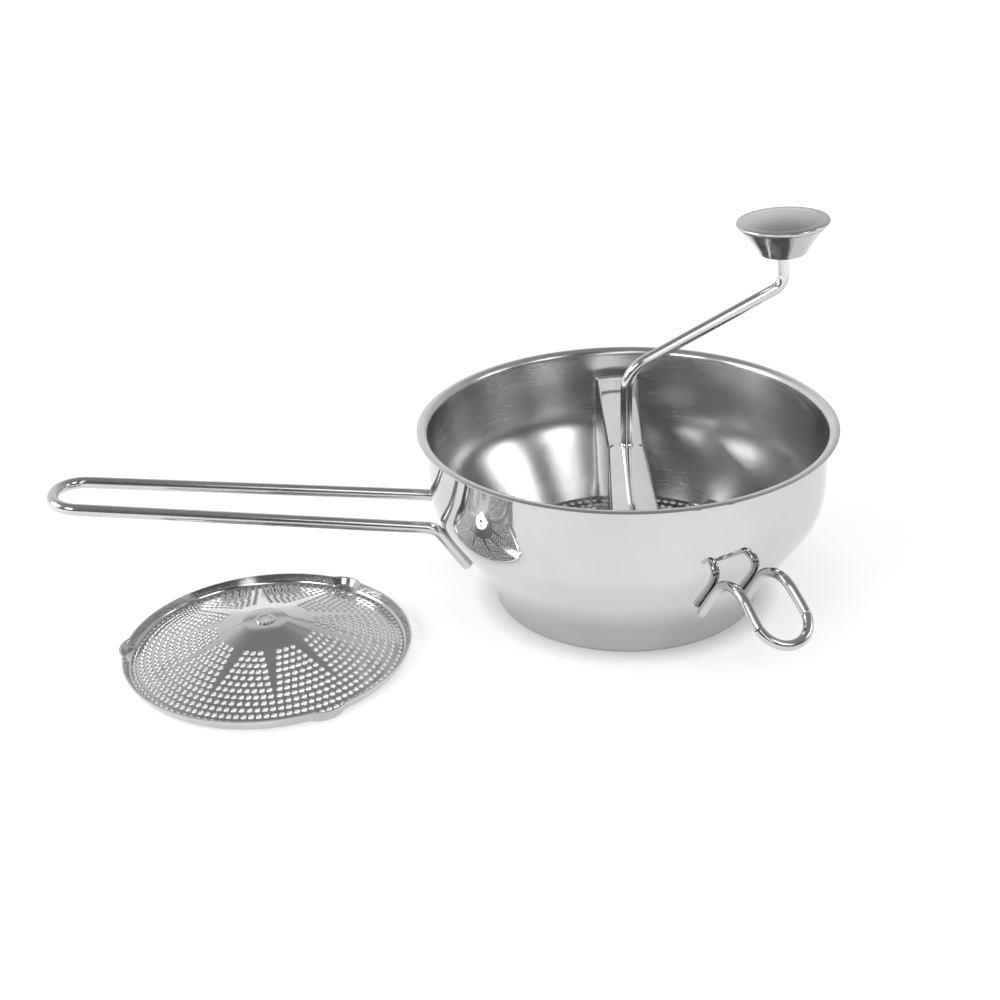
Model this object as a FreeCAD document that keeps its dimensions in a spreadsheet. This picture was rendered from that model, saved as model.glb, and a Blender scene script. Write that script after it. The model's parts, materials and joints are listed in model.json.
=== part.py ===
import FreeCAD, Part
import math
import os
import Sketcher
from FreeCAD import Placement, Rotation, Vector

# Hand cranked strainer (food mill): a stainless bowl with a wire handle and two
# wire rest hooks, a perforated disc locked in the bowl, a bent crank with its
# pressing blade and turning knob, and a spare disc lying beside the bowl.
# Frame: bowl axis on Z, table top at z = 0, handle towards -X. Millimetres.

os.makedirs("parts", exist_ok=True)
doc = FreeCAD.newDocument("Strainer")

# ---------------------------------------------------------------- sizes
# Driving sizes of the object, one per line: name, value, what it is.
SIZES = [
    ("sheet", 0.9, "thickness of the bowl's sheet"),
    ("lip_reach", 5.7, "how far the lip flares beyond the wall"),
    ("rim_top", 107.6, "highest line of the lip"),
    ("lip_radius", 4.2, "upper bend radius of the lip"),
    ("wall_radius", 114.3, "outside of the upright wall"),
    ("shoulder_radius", 42.0, "outside bend between cone and wall"),
    ("foot_radius", 77.2, "outside of the skirt at the table"),
    ("skirt_flare", 1.05, "how much the skirt widens to its top"),
    ("skirt_rise", 11.35, "height of the skirt"),
    ("skirt_straight", 4.0, "upright lower part of the skirt"),
    ("ledge_width", 5.05, "width and rise of the 45 degree ledge"),
    ("cone_angle", 34.3, "lean of the bowl's cone from upright"),
    ("weld_gap", 0.2, "clearance of welded pieces at their seats"),
    ("handle_wire", 7.0, "wire diameter of the handle"),
    ("handle_spread", 21.8, "half the handle's width at the bowl"),
    ("handle_end_spread", 18.0, "half the handle's width at its end"),
    ("handle_bend_height", 53.5, "height of the bend at the bowl"),
    ("handle_foot_height", 28.4, "height of the welded leg's end"),
    ("handle_length", 222.0, "from the bend to the outer end"),
    ("handle_rise", 0.089, "rise of the handle per length"),
    ("handle_bend", 12.0, "bend radius at the bowl"),
    ("handle_end_bend", 17.0, "bend radius at the outer end"),
    ("hook_wire", 5.6, "wire diameter of the rest hooks"),
    ("hook_angle", 62.0, "hook's direction from +X, both ways"),
    ("hook_spread", 14.0, "half the hook's width"),
    ("hook_foot_height", 31.7, "height of the welded leg's end"),
    ("hook_leg_length", 25.2, "straight leg along the wall"),
    ("hook_arch", 18.0, "bend radius of the arch"),
    ("hook_dip", 37.6, "slope of the outer loop below level"),
    ("hook_reach", 15.4, "straight run before the loop's round end"),
    ("disc_sheet", 1.0, "thickness of the disc"),
    ("disc_overlap", 2.46, "disc's flange beyond the skirt"),
    ("flange_height", 9.66, "height of the disc's flange"),
    ("flange_bevel", 2.4, "45 degree corner under the flange"),
    ("disc_edge", 3.06, "flat edge from the flange to the perforated cone"),
    ("boss_radius", 12.7, "flat top of the disc's boss"),
    ("boss_height", 21.3, "height of the boss's top"),
    ("disc_bore", 9.0, "hole in the boss"),
    ("lobe_bulge", 4.34, "bayonet lobes beyond the flange"),
    ("lobe_radius", 15.3, "radius of a lobe at its top"),
    ("lobe_draft", 0.6, "narrowing of a lobe per height"),
    ("lobe_count", 3, "bayonet lobes and lugs"),
    ("facets", 30, "flat facets round the perforated cone"),
    ("hole_diameter", 2.7, "strainer hole"),
    ("hole_pitch", 4.2, "spacing of the hole rows"),
    ("hole_spacing", 4.45, "spacing of the holes in a row"),
    ("hole_margin", 1.4, "last hole row to the cone's edge"),
    ("first_row", 28.6, "radius of the innermost hole row"),
    ("ray_count", 10, "solid rays between the hole sectors"),
    ("ray_turn", -7.4, "direction of the first ray from +X"),
    ("ray_width", 5.8, "width of a ray at its root"),
    ("ray_tip", 62.0, "radius where a ray ends"),
    ("disc_clearance", 0.2, "disc above the ledge, lug above the disc"),
    ("lug_turn", 46.0, "direction of the first lug from +X"),
    ("lug_width", 7.0, "width of a lug"),
    ("lug_cover", 3.4, "how far a lug covers a lobe"),
    ("lug_rise", 1.8, "height of a lug on the wall"),
    ("spare_x", -207.5, "spare disc's centre beside the bowl"),
    ("spare_y", -63.4, "spare disc's centre beside the bowl"),
    ("crank_wire", 6.7, "rod diameter of the crank"),
    ("rod_end", 5.17, "rod below its cross pin"),
    ("crank_corner", 137.3, "height of the lower bend's corner"),
    ("crank_throw", 90.0, "distance of the upper bend from the axis"),
    ("crank_top", 181.0, "height of the upper bend's corner"),
    ("crank_turn", 8.0, "direction of the arm from +X at rest"),
    ("crank_bend", 18.5, "lower bend radius"),
    ("crank_upper_bend", 9.5, "upper bend radius"),
    ("post_lean", 3.5, "inward lean of the knob's post"),
    ("run_gap", 0.08, "radial running clearance"),
    ("blade_sheet", 1.2, "thickness of the blade"),
    ("blade_top", 92.0, "height of the blade's upper strip"),
    ("blade_width", 21.0, "width of the upper strip"),
    ("blade_end_gap", 7.4, "blade's end to the bowl's wall"),
    ("blade_bend", 2.5, "outer bend radius of the blade"),
    ("blade_lip", 5.0, "depth of the rolled leading lip"),
    ("blade_gap", 0.8, "blade above the disc"),
    ("blade_wall_gap", 4.0, "blade to the bowl's cone"),
    ("collar_radius", 5.6, "stop collar on the rod"),
    ("collar_height", 9.0, "height of the stop collar"),
    ("bush_flange_radius", 6.6, "flange of the disc's bush"),
    ("bush_flange", 0.8, "thickness of the bush's flange"),
    ("bush_depth", 2.6, "length of the bush below the flange"),
    ("spring_radius", 5.6, "centre line radius of the spring"),
    ("spring_wire", 1.2, "wire diameter of the spring"),
    ("spring_turns", 4.0, "turns of the spring"),
    ("spring_length", 13.0, "space for the spring at rest"),
    ("spring_gap", 0.15, "clearance at each end of the spring"),
    ("washer_radius", 7.4, "outer radius of the washers"),
    ("washer", 1.0, "thickness of the washers"),
    ("cup_radius", 8.6, "outer radius of the spring's cup"),
    ("cup_wall", 1.0, "wall of the spring's cup"),
    ("cup_height", 6.0, "height of the spring's cup"),
    ("pin_diameter", 2.5, "cross pin below the cup"),
    ("pin_length", 13.0, "length of the cross pin"),
    ("knob_standoff", 18.1, "upper bend's corner to the knob's foot"),
    ("knob_foot_radius", 13.4, "lower end of the knob's cone"),
    ("knob_neck_radius", 24.7, "upper end of the knob's cone"),
    ("knob_radius", 25.85, "outer radius of the knob's cap"),
    ("knob_rise", 16.2, "height of the knob's cone"),
    ("knob_rim", 17.9, "height of the cap's widest line"),
    ("knob_corner", 1.5, "rounded lower corner of the cone"),
    ("knob_flare", 80.0, "bend radius of the cone's side"),
    ("knob_dome", 4.6, "rise of the cap's dome over that line"),
    ("knob_sheet", 1.2, "wall of the knob's shells"),
    ("knob_bush_radius", 6.2, "outer radius of the knob's bush"),
    ("knob_gap", 0.3, "end clearance of the turning knob"),
    ("retainer_radius", 6.0, "outer radius of the knob's retainer"),
]

sheet = doc.addObject("Spreadsheet::Sheet", "Sizes")
for row, (alias, number, meaning) in enumerate(SIZES, start=1):
    sheet.set(f"A{row}", meaning)
    sheet.set(f"B{row}", str(number))
    sheet.setAlias(f"B{row}", alias)
doc.recompute()


class Size:
    """A number together with the spreadsheet expression that gives it."""

    def __init__(self, value, text):
        self.value = float(value)
        self.text = text

    def __add__(self, other):
        other = as_size(other)
        return Size(self.value + other.value, f"({self.text} + {other.text})")

    def __sub__(self, other):
        other = as_size(other)
        return Size(self.value - other.value, f"({self.text} - {other.text})")

    def __mul__(self, other):
        other = as_size(other)
        return Size(self.value * other.value, f"({self.text} * {other.text})")

    def __truediv__(self, other):
        other = as_size(other)
        return Size(self.value / other.value, f"({self.text} / {other.text})")

    __radd__ = __add__
    __rmul__ = __mul__

    def __neg__(self):
        return Size(-self.value, f"(-1 * {self.text})")


def as_size(number):
    """Lets plain numbers take part in the arithmetic of sizes."""
    return number if isinstance(number, Size) else Size(number, repr(float(number)))


def cosine(angle):
    return Size(math.cos(math.radians(angle.value)), f"cos({angle.text} * 1 deg)")


def sine(angle):
    return Size(math.sin(math.radians(angle.value)), f"sin({angle.text} * 1 deg)")


def tangent(angle):
    return Size(math.tan(math.radians(angle.value)), f"tan({angle.text} * 1 deg)")


def root(number):
    return Size(math.sqrt(number.value), f"sqrt({number.text})")


def cell(alias):
    """A driving size, by its name in the spreadsheet."""
    return Size(sheet.get(alias), f"Sizes.{alias}")


# ---------------------------------------------------------------- helpers
def origin_plane(body, role):
    """One of the body's own origin planes, such as XZ_Plane."""
    return [item for item in body.Origin.OriginFeatures if item.Role == role][0]


def draw(body, name, corners, closed=True, role="XZ_Plane"):
    """A sketch through the corners, each (across, up) or (across, up, radius, turn).

    A corner with a radius starts an arc to the next corner, which turns left for
    turn +1 and right for -1. Every corner and radius is bound to the sizes.
    """
    sketch = body.newObject("Sketcher::SketchObject", name)
    sketch.AttachmentSupport = (origin_plane(body, role), [""])
    sketch.MapMode = "FlatFace"
    count = len(corners)
    runs = count if closed else count - 1
    ends = []
    for index in range(runs):
        start = corners[index]
        stop = corners[(index + 1) % count]
        first = Vector(start[0].value, start[1].value, 0)
        last = Vector(stop[0].value, stop[1].value, 0)
        if len(start) == 2:
            geometry = sketch.addGeometry(Part.LineSegment(first, last), False)
            ends.append((geometry, 1, 2))
            continue
        radius, turn = start[2], start[3]
        chord = last - first
        aside = Vector(-chord.y, chord.x, 0) * (turn / chord.Length)
        depth = math.sqrt(max(radius.value**2 - chord.Length**2 / 4, 0))
        centre = (first + last) * 0.5 + aside * depth
        angles = [math.atan2(p.y - centre.y, p.x - centre.x) for p in (first, last)]
        if turn < 0:
            angles.reverse()
        if angles[1] < angles[0]:
            angles[1] += 2 * math.pi
        circle = Part.Circle(centre, Vector(0, 0, 1), radius.value)
        geometry = sketch.addGeometry(Part.ArcOfCircle(circle, *angles), False)
        ends.append((geometry, 1, 2) if turn > 0 else (geometry, 2, 1))
        rule = sketch.addConstraint(Sketcher.Constraint("Radius", geometry, radius.value))
        sketch.setExpression(f"Constraints[{rule}]", radius.text)
    for index in range(runs):
        geometry, head, tail = ends[index]
        for kind, size in (("DistanceX", corners[index][0]), ("DistanceY", corners[index][1])):
            rule = sketch.addConstraint(Sketcher.Constraint(kind, -1, 1, geometry, head, size.value))
            sketch.setExpression(f"Constraints[{rule}]", size.text)
        if index + 1 < runs or closed:
            after, after_head, _ = ends[(index + 1) % runs]
            sketch.addConstraint(Sketcher.Constraint("Coincident", geometry, tail, after, after_head))
    if not closed:
        geometry, _, tail = ends[-1]
        for kind, size in (("DistanceX", corners[-1][0]), ("DistanceY", corners[-1][1])):
            rule = sketch.addConstraint(Sketcher.Constraint(kind, -1, 1, geometry, tail, size.value))
            sketch.setExpression(f"Constraints[{rule}]", size.text)
    return sketch


def turned(label, corners):
    """A turned or spun piece: its half section revolved round its own Z axis."""
    body = doc.addObject("PartDesign::Body", label)
    sketch = draw(body, f"{label}_section", corners)
    revolve = body.newObject("PartDesign::Revolution", f"{label}_turned")
    revolve.Profile = sketch
    revolve.ReferenceAxis = (sketch, ["V_Axis"])
    revolve.Angle = 360
    sketch.Visibility = False
    doc.recompute()
    return body


def ring(label, inner, outer, bottom, top):
    """A turned ring with a plain rectangular section."""
    return turned(label, [(inner, bottom), (outer, bottom), (outer, top), (inner, top)])


def shaped(label, shape):
    """A piece whose shape is worked out here from the sizes."""
    piece = doc.addObject("Part::Feature", label)
    piece.Shape = shape
    return piece


def bent_path(points, radii):
    """A wire of straight runs joined by tangent arcs at the inner points."""
    edges = []
    start = points[0]
    for index in range(1, len(points) - 1):
        corner = points[index]
        back = (points[index - 1] - corner).normalize()
        ahead = (points[index + 1] - corner).normalize()
        turn = math.pi - back.getAngle(ahead)
        reach = radii[index - 1] * math.tan(turn / 2)
        first = corner + back * reach
        last = corner + ahead * reach
        bisector = (back + ahead).normalize()
        middle = corner + bisector * (radii[index - 1] / math.cos(turn / 2) - radii[index - 1])
        if (first - start).Length > 1e-6:
            edges.append(Part.LineSegment(start, first).toShape())
        edges.append(Part.Arc(first, middle, last).toShape())
        start = last
    edges.append(Part.LineSegment(start, points[-1]).toShape())
    return Part.Wire(edges)


def bent_wire(points, radii, diameter):
    """Round wire bent along a path."""
    path = bent_path(points, radii)
    facing = (points[1] - points[0]).normalize()
    section = Part.Wire(Part.makeCircle(diameter / 2, points[0], facing))
    solid = path.makePipeShell([section], True, False)
    expected = path.Length * math.pi * diameter**2 / 4
    if abs(solid.Volume / expected - 1) > 0.01:
        raise RuntimeError("a bent wire's volume differs from its section times its length")
    return solid


# ---------------------------------------------------------------- bowl
# Spun from one sheet: skirt, 45 degree ledge that carries the disc, cone,
# rounded shoulder, upright wall and a lip rolled outwards.
thickness = cell("sheet")
cone_angle = cell("cone_angle")
foot_radius = cell("foot_radius")
ledge_low_radius = foot_radius + cell("skirt_flare")
ledge_low = cell("skirt_rise")
ledge_high_radius = ledge_low_radius + cell("ledge_width")
ledge_high = ledge_low + cell("ledge_width")
wall_radius = cell("wall_radius")
cone_slope = tangent(cone_angle)
shoulder = cell("shoulder_radius")
shoulder_corner = ledge_high + (wall_radius - ledge_high_radius) / cone_slope
shoulder_reach = shoulder * tangent(cone_angle / 2)
lip = cell("lip_radius")
lip_under = lip - thickness
lip_centre_radius = wall_radius - thickness + lip
lip_centre_height = cell("rim_top") - lip
lip_out = cell("lip_reach") + thickness - lip
lip_up = root(lip * lip - lip_out * lip_out)
lip_share = lip_under / lip

# Inner corners of the sheet, where its inner faces meet.
skirt_corner_shift = thickness * math.tan(math.radians(22.5))
cone_inner_shift = thickness / cosine(cone_angle)
ledge_inner_shift = thickness * math.sqrt(2)
ledge_corner_rise = (ledge_inner_shift - cone_inner_shift) / (Size(1, "1") - cone_slope)

bowl = turned("bowl", [
    (foot_radius, as_size(0)),
    (foot_radius, cell("skirt_straight")),
    (ledge_low_radius, ledge_low),
    (ledge_high_radius, ledge_high),
    (wall_radius - shoulder_reach * sine(cone_angle),
     shoulder_corner - shoulder_reach * cosine(cone_angle), shoulder, 1),
    (wall_radius, shoulder_corner + shoulder_reach),
    (wall_radius, lip_centre_height, lip_under, -1),
    (lip_centre_radius + lip_out * lip_share, lip_centre_height + lip_up * lip_share),
    (lip_centre_radius + lip_out, lip_centre_height + lip_up, lip, 1),
    (wall_radius - thickness, lip_centre_height),
    (wall_radius - thickness, shoulder_corner + shoulder_reach, shoulder - thickness, -1),
    (wall_radius - shoulder_reach * sine(cone_angle) - thickness * cosine(cone_angle),
     shoulder_corner - shoulder_reach * cosine(cone_angle) + thickness * sine(cone_angle)),
    (ledge_high_radius + ledge_corner_rise - ledge_inner_shift, ledge_high + ledge_corner_rise),
    (ledge_low_radius - thickness, ledge_low + skirt_corner_shift),
    (foot_radius - thickness, cell("skirt_straight")),
    (foot_radius - thickness, as_size(0)),
])


def cone_outside(height):
    """Radius of the bowl's outer cone at a height."""
    return ledge_high_radius.value + cone_slope.value * (height - ledge_high.value)


def cone_inside(height):
    """Radius of the bowl's inner cone at a height."""
    return cone_outside(height) - cone_inner_shift.value


# ---------------------------------------------------------------- handle
# One long wire bent to a slim U; both legs turn down and are welded along
# the cone of the bowl.
def handle_shape():
    wire = cell("handle_wire").value
    spread = cell("handle_spread").value
    seat = (wire / 2 + cell("weld_gap").value) / cosine(cone_angle).value
    bend_height = cell("handle_bend_height").value
    foot_height = cell("handle_foot_height").value
    length = cell("handle_length").value

    def on_wall(height, side):
        radius = cone_outside(height) + seat
        return Vector(-math.sqrt(radius**2 - spread**2), side * spread, height)

    def outer_corner(side):
        start = on_wall(bend_height, side)
        rise = length * cell("handle_rise").value
        return Vector(start.x - length, side * cell("handle_end_spread").value, bend_height + rise)

    points = [
        on_wall(foot_height, -1), on_wall(bend_height, -1), outer_corner(-1),
        outer_corner(1), on_wall(bend_height, 1), on_wall(foot_height, 1),
    ]
    bend = cell("handle_bend").value
    end_bend = cell("handle_end_bend").value
    return bent_wire(points, [bend, end_bend, end_bend, bend], wire)


handle = shaped("handle", handle_shape())


# ---------------------------------------------------------------- rest hooks
# Two wire hooks that hang the bowl on a pan: the welded legs run up the cone,
# arch outwards and end in a round loop.
def hook_shape():
    wire = cell("hook_wire").value
    spread = cell("hook_spread").value
    lean = math.radians(cone_angle.value)
    dip = math.radians(cell("hook_dip").value)
    foot_height = cell("hook_foot_height").value
    seat = (wire / 2 + cell("weld_gap").value) / math.cos(lean)
    foot_radius_here = math.sqrt((cone_outside(foot_height) + seat) ** 2 - spread**2)
    up_wall = Vector(math.sin(lean), 0, math.cos(lean))
    outwards = Vector(math.cos(dip), 0, -math.sin(dip))
    arch = cell("hook_arch").value
    arch_reach = arch * math.tan((math.pi / 2 - lean + dip) / 2)
    foot = Vector(foot_radius_here, 0, foot_height)
    corner = foot + up_wall * (cell("hook_leg_length").value + arch_reach)
    end = corner + outwards * (arch_reach + cell("hook_reach").value + spread)
    aside = Vector(0, spread, 0)
    points = [foot - aside, corner - aside, end - aside, end + aside, corner + aside, foot + aside]
    return bent_wire(points, [arch, spread, spread, arch], wire)


def place_hook(label, angle):
    hook = shaped(label, hook_shape())
    hook.Placement = Placement(Vector(0, 0, 0), Rotation(Vector(0, 0, 1), angle))
    return hook


rest_hook_front = place_hook("rest_hook_front", -cell("hook_angle").value)
rest_hook_back = place_hook("rest_hook_back", cell("hook_angle").value)

# ---------------------------------------------------------------- discs
# Pressed from one sheet: a perforated cone of flat facets with solid rays, a
# flat topped boss, a flat edge and an upturned flange with bayonet lobes.
disc_sheet = cell("disc_sheet").value
disc_radius = (foot_radius + cell("disc_overlap")).value
boss_radius = cell("boss_radius").value
boss_height = cell("boss_height").value
cone_foot_radius = disc_radius - cell("disc_edge").value
lobe_reach = disc_radius + cell("lobe_bulge").value
disc_slope = (boss_height - disc_sheet) / (cone_foot_radius - boss_radius)
facet_count = int(cell("facets").value)
facet_angle = 2 * math.pi / facet_count
ray_angle = 2 * math.pi / cell("ray_count").value


def polar(radius, angle, height):
    return Vector(radius * math.cos(angle), radius * math.sin(angle), height)


def disc_surface(radius):
    """Height of the disc's upper cone over the disc's own foot."""
    return disc_sheet + (cone_foot_radius - radius) * disc_slope


def ray_half_width(radius):
    """Half the width of a solid ray at a radius; it tapers to nothing at its tip."""
    first_row = cell("first_row").value
    share = (cell("ray_tip").value - radius) / (cell("ray_tip").value - first_row)
    return max(share, 0) * cell("ray_width").value / 2


def facet_wedge(turn):
    """One flat facet of the cone with upright sides."""
    widen = 1 / math.cos(facet_angle / 2)
    corners = []
    for radius, height, side in (
        (cone_foot_radius, disc_sheet, -1), (cone_foot_radius, disc_sheet, 1),
        (boss_radius, boss_height, 1), (boss_radius, boss_height, -1),
    ):
        corners.append(polar(radius * widen, turn + side * facet_angle / 2, height))
    return Part.Face(Part.makePolygon(corners + [corners[0]])).extrude(Vector(0, 0, -disc_sheet))


def facet_holes(turn):
    """Cylinders that punch one facet square to its face, clear of the rays."""
    pitch = cell("hole_pitch").value
    spacing = cell("hole_spacing").value
    margin = cell("hole_margin").value
    punch = cell("hole_diameter").value / 2
    across = Vector(-math.sin(turn), math.cos(turn), 0)
    square = polar(disc_slope, turn, 1).normalize()
    ray = math.radians(cell("ray_turn").value)
    holes = []
    radius = cell("first_row").value
    while radius < cone_foot_radius - margin:
        half = radius * math.tan(facet_angle / 2)
        count = max(1, round(2 * half / spacing))
        for index in range(count):
            offset = ((index + 0.5) / count * 2 - 1) * half
            angle = turn + math.atan2(offset, radius)
            nearest = round((angle - ray) / ray_angle) * ray_angle + ray
            if abs(angle - nearest) * radius > ray_half_width(radius) + punch:
                centre = polar(radius, turn, disc_surface(radius)) + across * offset
                start = centre - square * 2 * disc_sheet
                holes.append(Part.makeCylinder(punch, 3 * disc_sheet, start, square))
        radius += pitch
    return holes


def disc_flange(inset):
    """The disc's outer form with its lobes, moved inwards by the inset."""
    bevel = cell("flange_bevel").value
    height = cell("flange_height").value
    radius = disc_radius - inset
    low = inset * math.tan(math.radians(22.5))
    form = Part.makeCone(radius - bevel + low, radius, bevel - low, Vector(0, 0, inset))
    upright_foot = inset + bevel - low
    upright = height + inset - upright_foot
    form = form.fuse(Part.makeCylinder(radius, upright, Vector(0, 0, upright_foot)))
    lobe_radius = cell("lobe_radius").value - inset
    lobe_centre = lobe_reach - cell("lobe_radius").value
    draft = cell("lobe_draft").value
    lobe_height = height - bevel
    count = int(cell("lobe_count").value)
    for index in range(count):
        angle = 2 * math.pi * (index + 0.5) / count
        lobe = Part.makeCone(
            lobe_radius - draft * lobe_height, lobe_radius + draft * inset,
            lobe_height + inset, polar(lobe_centre, angle, bevel),
        )
        form = form.fuse(lobe)
    return form


def disc_shape():
    """A whole disc, standing on z = 0 about its own axis."""
    ray = math.radians(cell("ray_turn").value)
    first_turn = ray + facet_angle / 2
    pieces = []
    for index in range(facet_count):
        turn = first_turn + index * facet_angle
        pieces.append(facet_wedge(turn).cut(facet_holes(turn)))
    widen = 1 / math.cos(facet_angle / 2)
    through = 2 * boss_height
    inner = [polar(cone_foot_radius * widen, first_turn + (i + 0.5) * facet_angle, -disc_sheet)
             for i in range(facet_count)]
    inner_prism = Part.Face(Part.makePolygon(inner + [inner[0]])).extrude(Vector(0, 0, through))
    dish = disc_flange(0).cut(disc_flange(disc_sheet)).cut(inner_prism)
    top = [polar(boss_radius * widen, first_turn + (i + 0.5) * facet_angle, boss_height)
           for i in range(facet_count)]
    boss = Part.Face(Part.makePolygon(top + [top[0]])).extrude(Vector(0, 0, -disc_sheet))
    boss = boss.cut(Part.makeCylinder(cell("disc_bore").value / 2, through))
    return pieces[0].fuse(pieces[1:] + [dish, boss]).removeSplitter()


ledge_line = ledge_low_radius - thickness - ledge_low - skirt_corner_shift
disc_floor = (disc_radius - cell("flange_bevel").value - ledge_line.value
              + cell("disc_clearance").value * math.sqrt(2))
lobe_turn = cell("lug_turn").value - 180 / cell("lobe_count").value
disc_form = disc_shape()
disc_plate = shaped("disc_plate", disc_form)
disc_plate.Placement = Placement(Vector(0, 0, disc_floor), Rotation(Vector(0, 0, 1), lobe_turn))
spare_place = Vector(cell("spare_x").value, cell("spare_y").value, 0)
spare_disc_plate = shaped("spare_disc_plate", disc_form)
spare_disc_plate.Placement = Placement(spare_place, Rotation())


# ---------------------------------------------------------------- disc lugs
# Three small wedges welded inside the cone; the disc's lobes turn under them.
def lug_shapes():
    bottom = disc_floor + cell("flange_height").value + cell("disc_clearance").value
    top = bottom + cell("lug_rise").value
    width = cell("lug_width").value
    inner_radius = lobe_reach - cell("lug_cover").value
    half_chord_drop = width**2 / (8 * cone_inside(bottom))
    seat = cell("weld_gap").value / cosine(cone_angle).value + half_chord_drop
    section = [
        Vector(inner_radius, -width / 2, bottom),
        Vector(cone_inside(bottom) - seat, -width / 2, bottom),
        Vector(cone_inside(top) - seat, -width / 2, top),
        Vector(inner_radius, -width / 2, bottom + disc_sheet),
    ]
    lug = Part.Face(Part.makePolygon(section + [section[0]])).extrude(Vector(0, width, 0))
    count = int(cell("lobe_count").value)
    lugs = []
    for index in range(count):
        copy = lug.copy()
        copy.rotate(Vector(0, 0, 0), Vector(0, 0, 1), cell("lug_turn").value + 360 * index / count)
        lugs.append(copy)
    return Part.makeCompound(lugs)


disc_lugs = shaped("disc_lugs", lug_shapes())

# ---------------------------------------------------------------- disc bushes
# A flanged eyelet in the boss of each disc, in which the crank's rod runs.
rod_radius = cell("crank_wire") / 2
bore_radius = rod_radius + cell("run_gap")
bush_radius = cell("disc_bore") / 2 - cell("run_gap")


def disc_bush(label, place):
    bush = turned(label, [
        (bore_radius, -cell("bush_depth")),
        (bush_radius, -cell("bush_depth")),
        (bush_radius, as_size(0)),
        (cell("bush_flange_radius"), as_size(0)),
        (cell("bush_flange_radius"), cell("bush_flange")),
        (bore_radius, cell("bush_flange")),
    ])
    bush.Placement = Placement(place, Rotation())
    return bush


boss_top = disc_floor + boss_height
disc_bush_piece = disc_bush("disc_bush", Vector(0, 0, boss_top))
spare_bush_piece = disc_bush("spare_disc_bush", spare_place + Vector(0, 0, boss_height))

# ---------------------------------------------------------------- spring catch
# Under the boss a washer, a coil spring and a cup on the rod draw the blade
# down on the disc; a cross pin through the rod holds the cup.
washer = cell("washer")
disc_washer = ring("disc_washer", cell("disc_bore") / 2 + cell("run_gap"),
                   cell("washer_radius"), -washer, as_size(0))
disc_washer.Placement = Placement(Vector(0, 0, boss_top - disc_sheet), Rotation())
spring_top = boss_top - disc_sheet - washer.value
spring_bottom = spring_top - cell("spring_length").value


def spring_shape():
    """Coil spring between the washer and the cup, its ends laid just inside."""
    wire = cell("spring_wire").value
    radius = cell("spring_radius").value
    height = cell("spring_length").value - 2 * cell("spring_gap").value - wire
    pitch = height / cell("spring_turns").value
    path = Part.makeHelix(pitch, height, radius)
    facing = Vector(0, 2 * math.pi * radius, pitch).normalize()
    section = Part.Wire(Part.makeCircle(wire / 2, Vector(radius, 0, 0), facing))
    coil = Part.Wire(path).makePipeShell([section], True, True)
    return coil


spring = shaped("press_spring", spring_shape())
spring_start = spring_bottom + cell("spring_gap").value + cell("spring_wire").value / 2
spring.Placement = Placement(Vector(0, 0, spring_start), Rotation())

spring_cup = turned("spring_cup", [
    (bore_radius, as_size(0)),
    (cell("cup_radius"), as_size(0)),
    (cell("cup_radius"), cell("cup_height")),
    (cell("cup_radius") - cell("cup_wall"), cell("cup_height")),
    (cell("cup_radius") - cell("cup_wall"), cell("cup_wall")),
    (bore_radius, cell("cup_wall")),
])
cup_bottom = spring_bottom - cell("cup_wall").value
spring_cup.Placement = Placement(Vector(0, 0, cup_bottom), Rotation())

cup_washer = ring("cup_washer", bore_radius, cell("washer_radius"), -washer, as_size(0))
cup_washer.Placement = Placement(Vector(0, 0, cup_bottom), Rotation())
pin_height = cup_bottom - washer.value - cell("pin_diameter").value / 2 - cell("weld_gap").value

cross_pin = doc.addObject("Part::Cylinder", "cross_pin")
cross_pin.setExpression("Radius", "Sizes.pin_diameter / 2")
cross_pin.setExpression("Height", "Sizes.pin_length")
pin_start = Vector(0, -cell("pin_length").value / 2, pin_height)
cross_pin.Placement = Placement(pin_start, Rotation(Vector(1, 0, 0), -90))

# ---------------------------------------------------------------- crank rod
# Round rod from under the disc straight up the axis, out along the sloping
# arm and up again as the post of the knob.
throw = cell("crank_throw")
lean = cell("post_lean")
standoff = cell("knob_standoff")
post_length = standoff + cell("knob_rim")


def crank_shape():
    """The bent rod with the hole for its cross pin."""
    low = Vector(0, 0, pin_height - cell("rod_end").value)
    corner = Vector(0, 0, cell("crank_corner").value)
    upper = Vector(throw.value, 0, cell("crank_top").value)
    tip = upper + post_direction() * post_length.value
    bends = [cell("crank_bend").value, cell("crank_upper_bend").value]
    rod = bent_wire([low, corner, upper, tip], bends, cell("crank_wire").value)
    hole = cell("pin_diameter").value / 2 + cell("run_gap").value / 2
    span = 2 * cell("crank_wire").value
    drill = Part.makeCylinder(hole, span, Vector(0, -span / 2, pin_height), Vector(0, 1, 0))
    drill.rotate(Vector(0, 0, 0), Vector(0, 0, 1), -cell("crank_turn").value)
    return rod.cut(drill)


def post_direction():
    """Direction of the knob's post in the plane of the arm."""
    return Vector(-sine(lean).value, 0, cosine(lean).value)


arm_turn = Rotation(Vector(0, 0, 1), cell("crank_turn").value)
crank_rod = shaped("crank_rod", crank_shape())
crank_rod.Placement = Placement(Vector(0, 0, 0), arm_turn)


# ---------------------------------------------------------------- blade
# One bent sheet, the same when turned half round: a strip across the bowl with
# a rolled lip on each leading edge and a wing down to the disc on each trailing one.
blade_reach = (wall_radius - thickness - cell("blade_end_gap")).value


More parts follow.
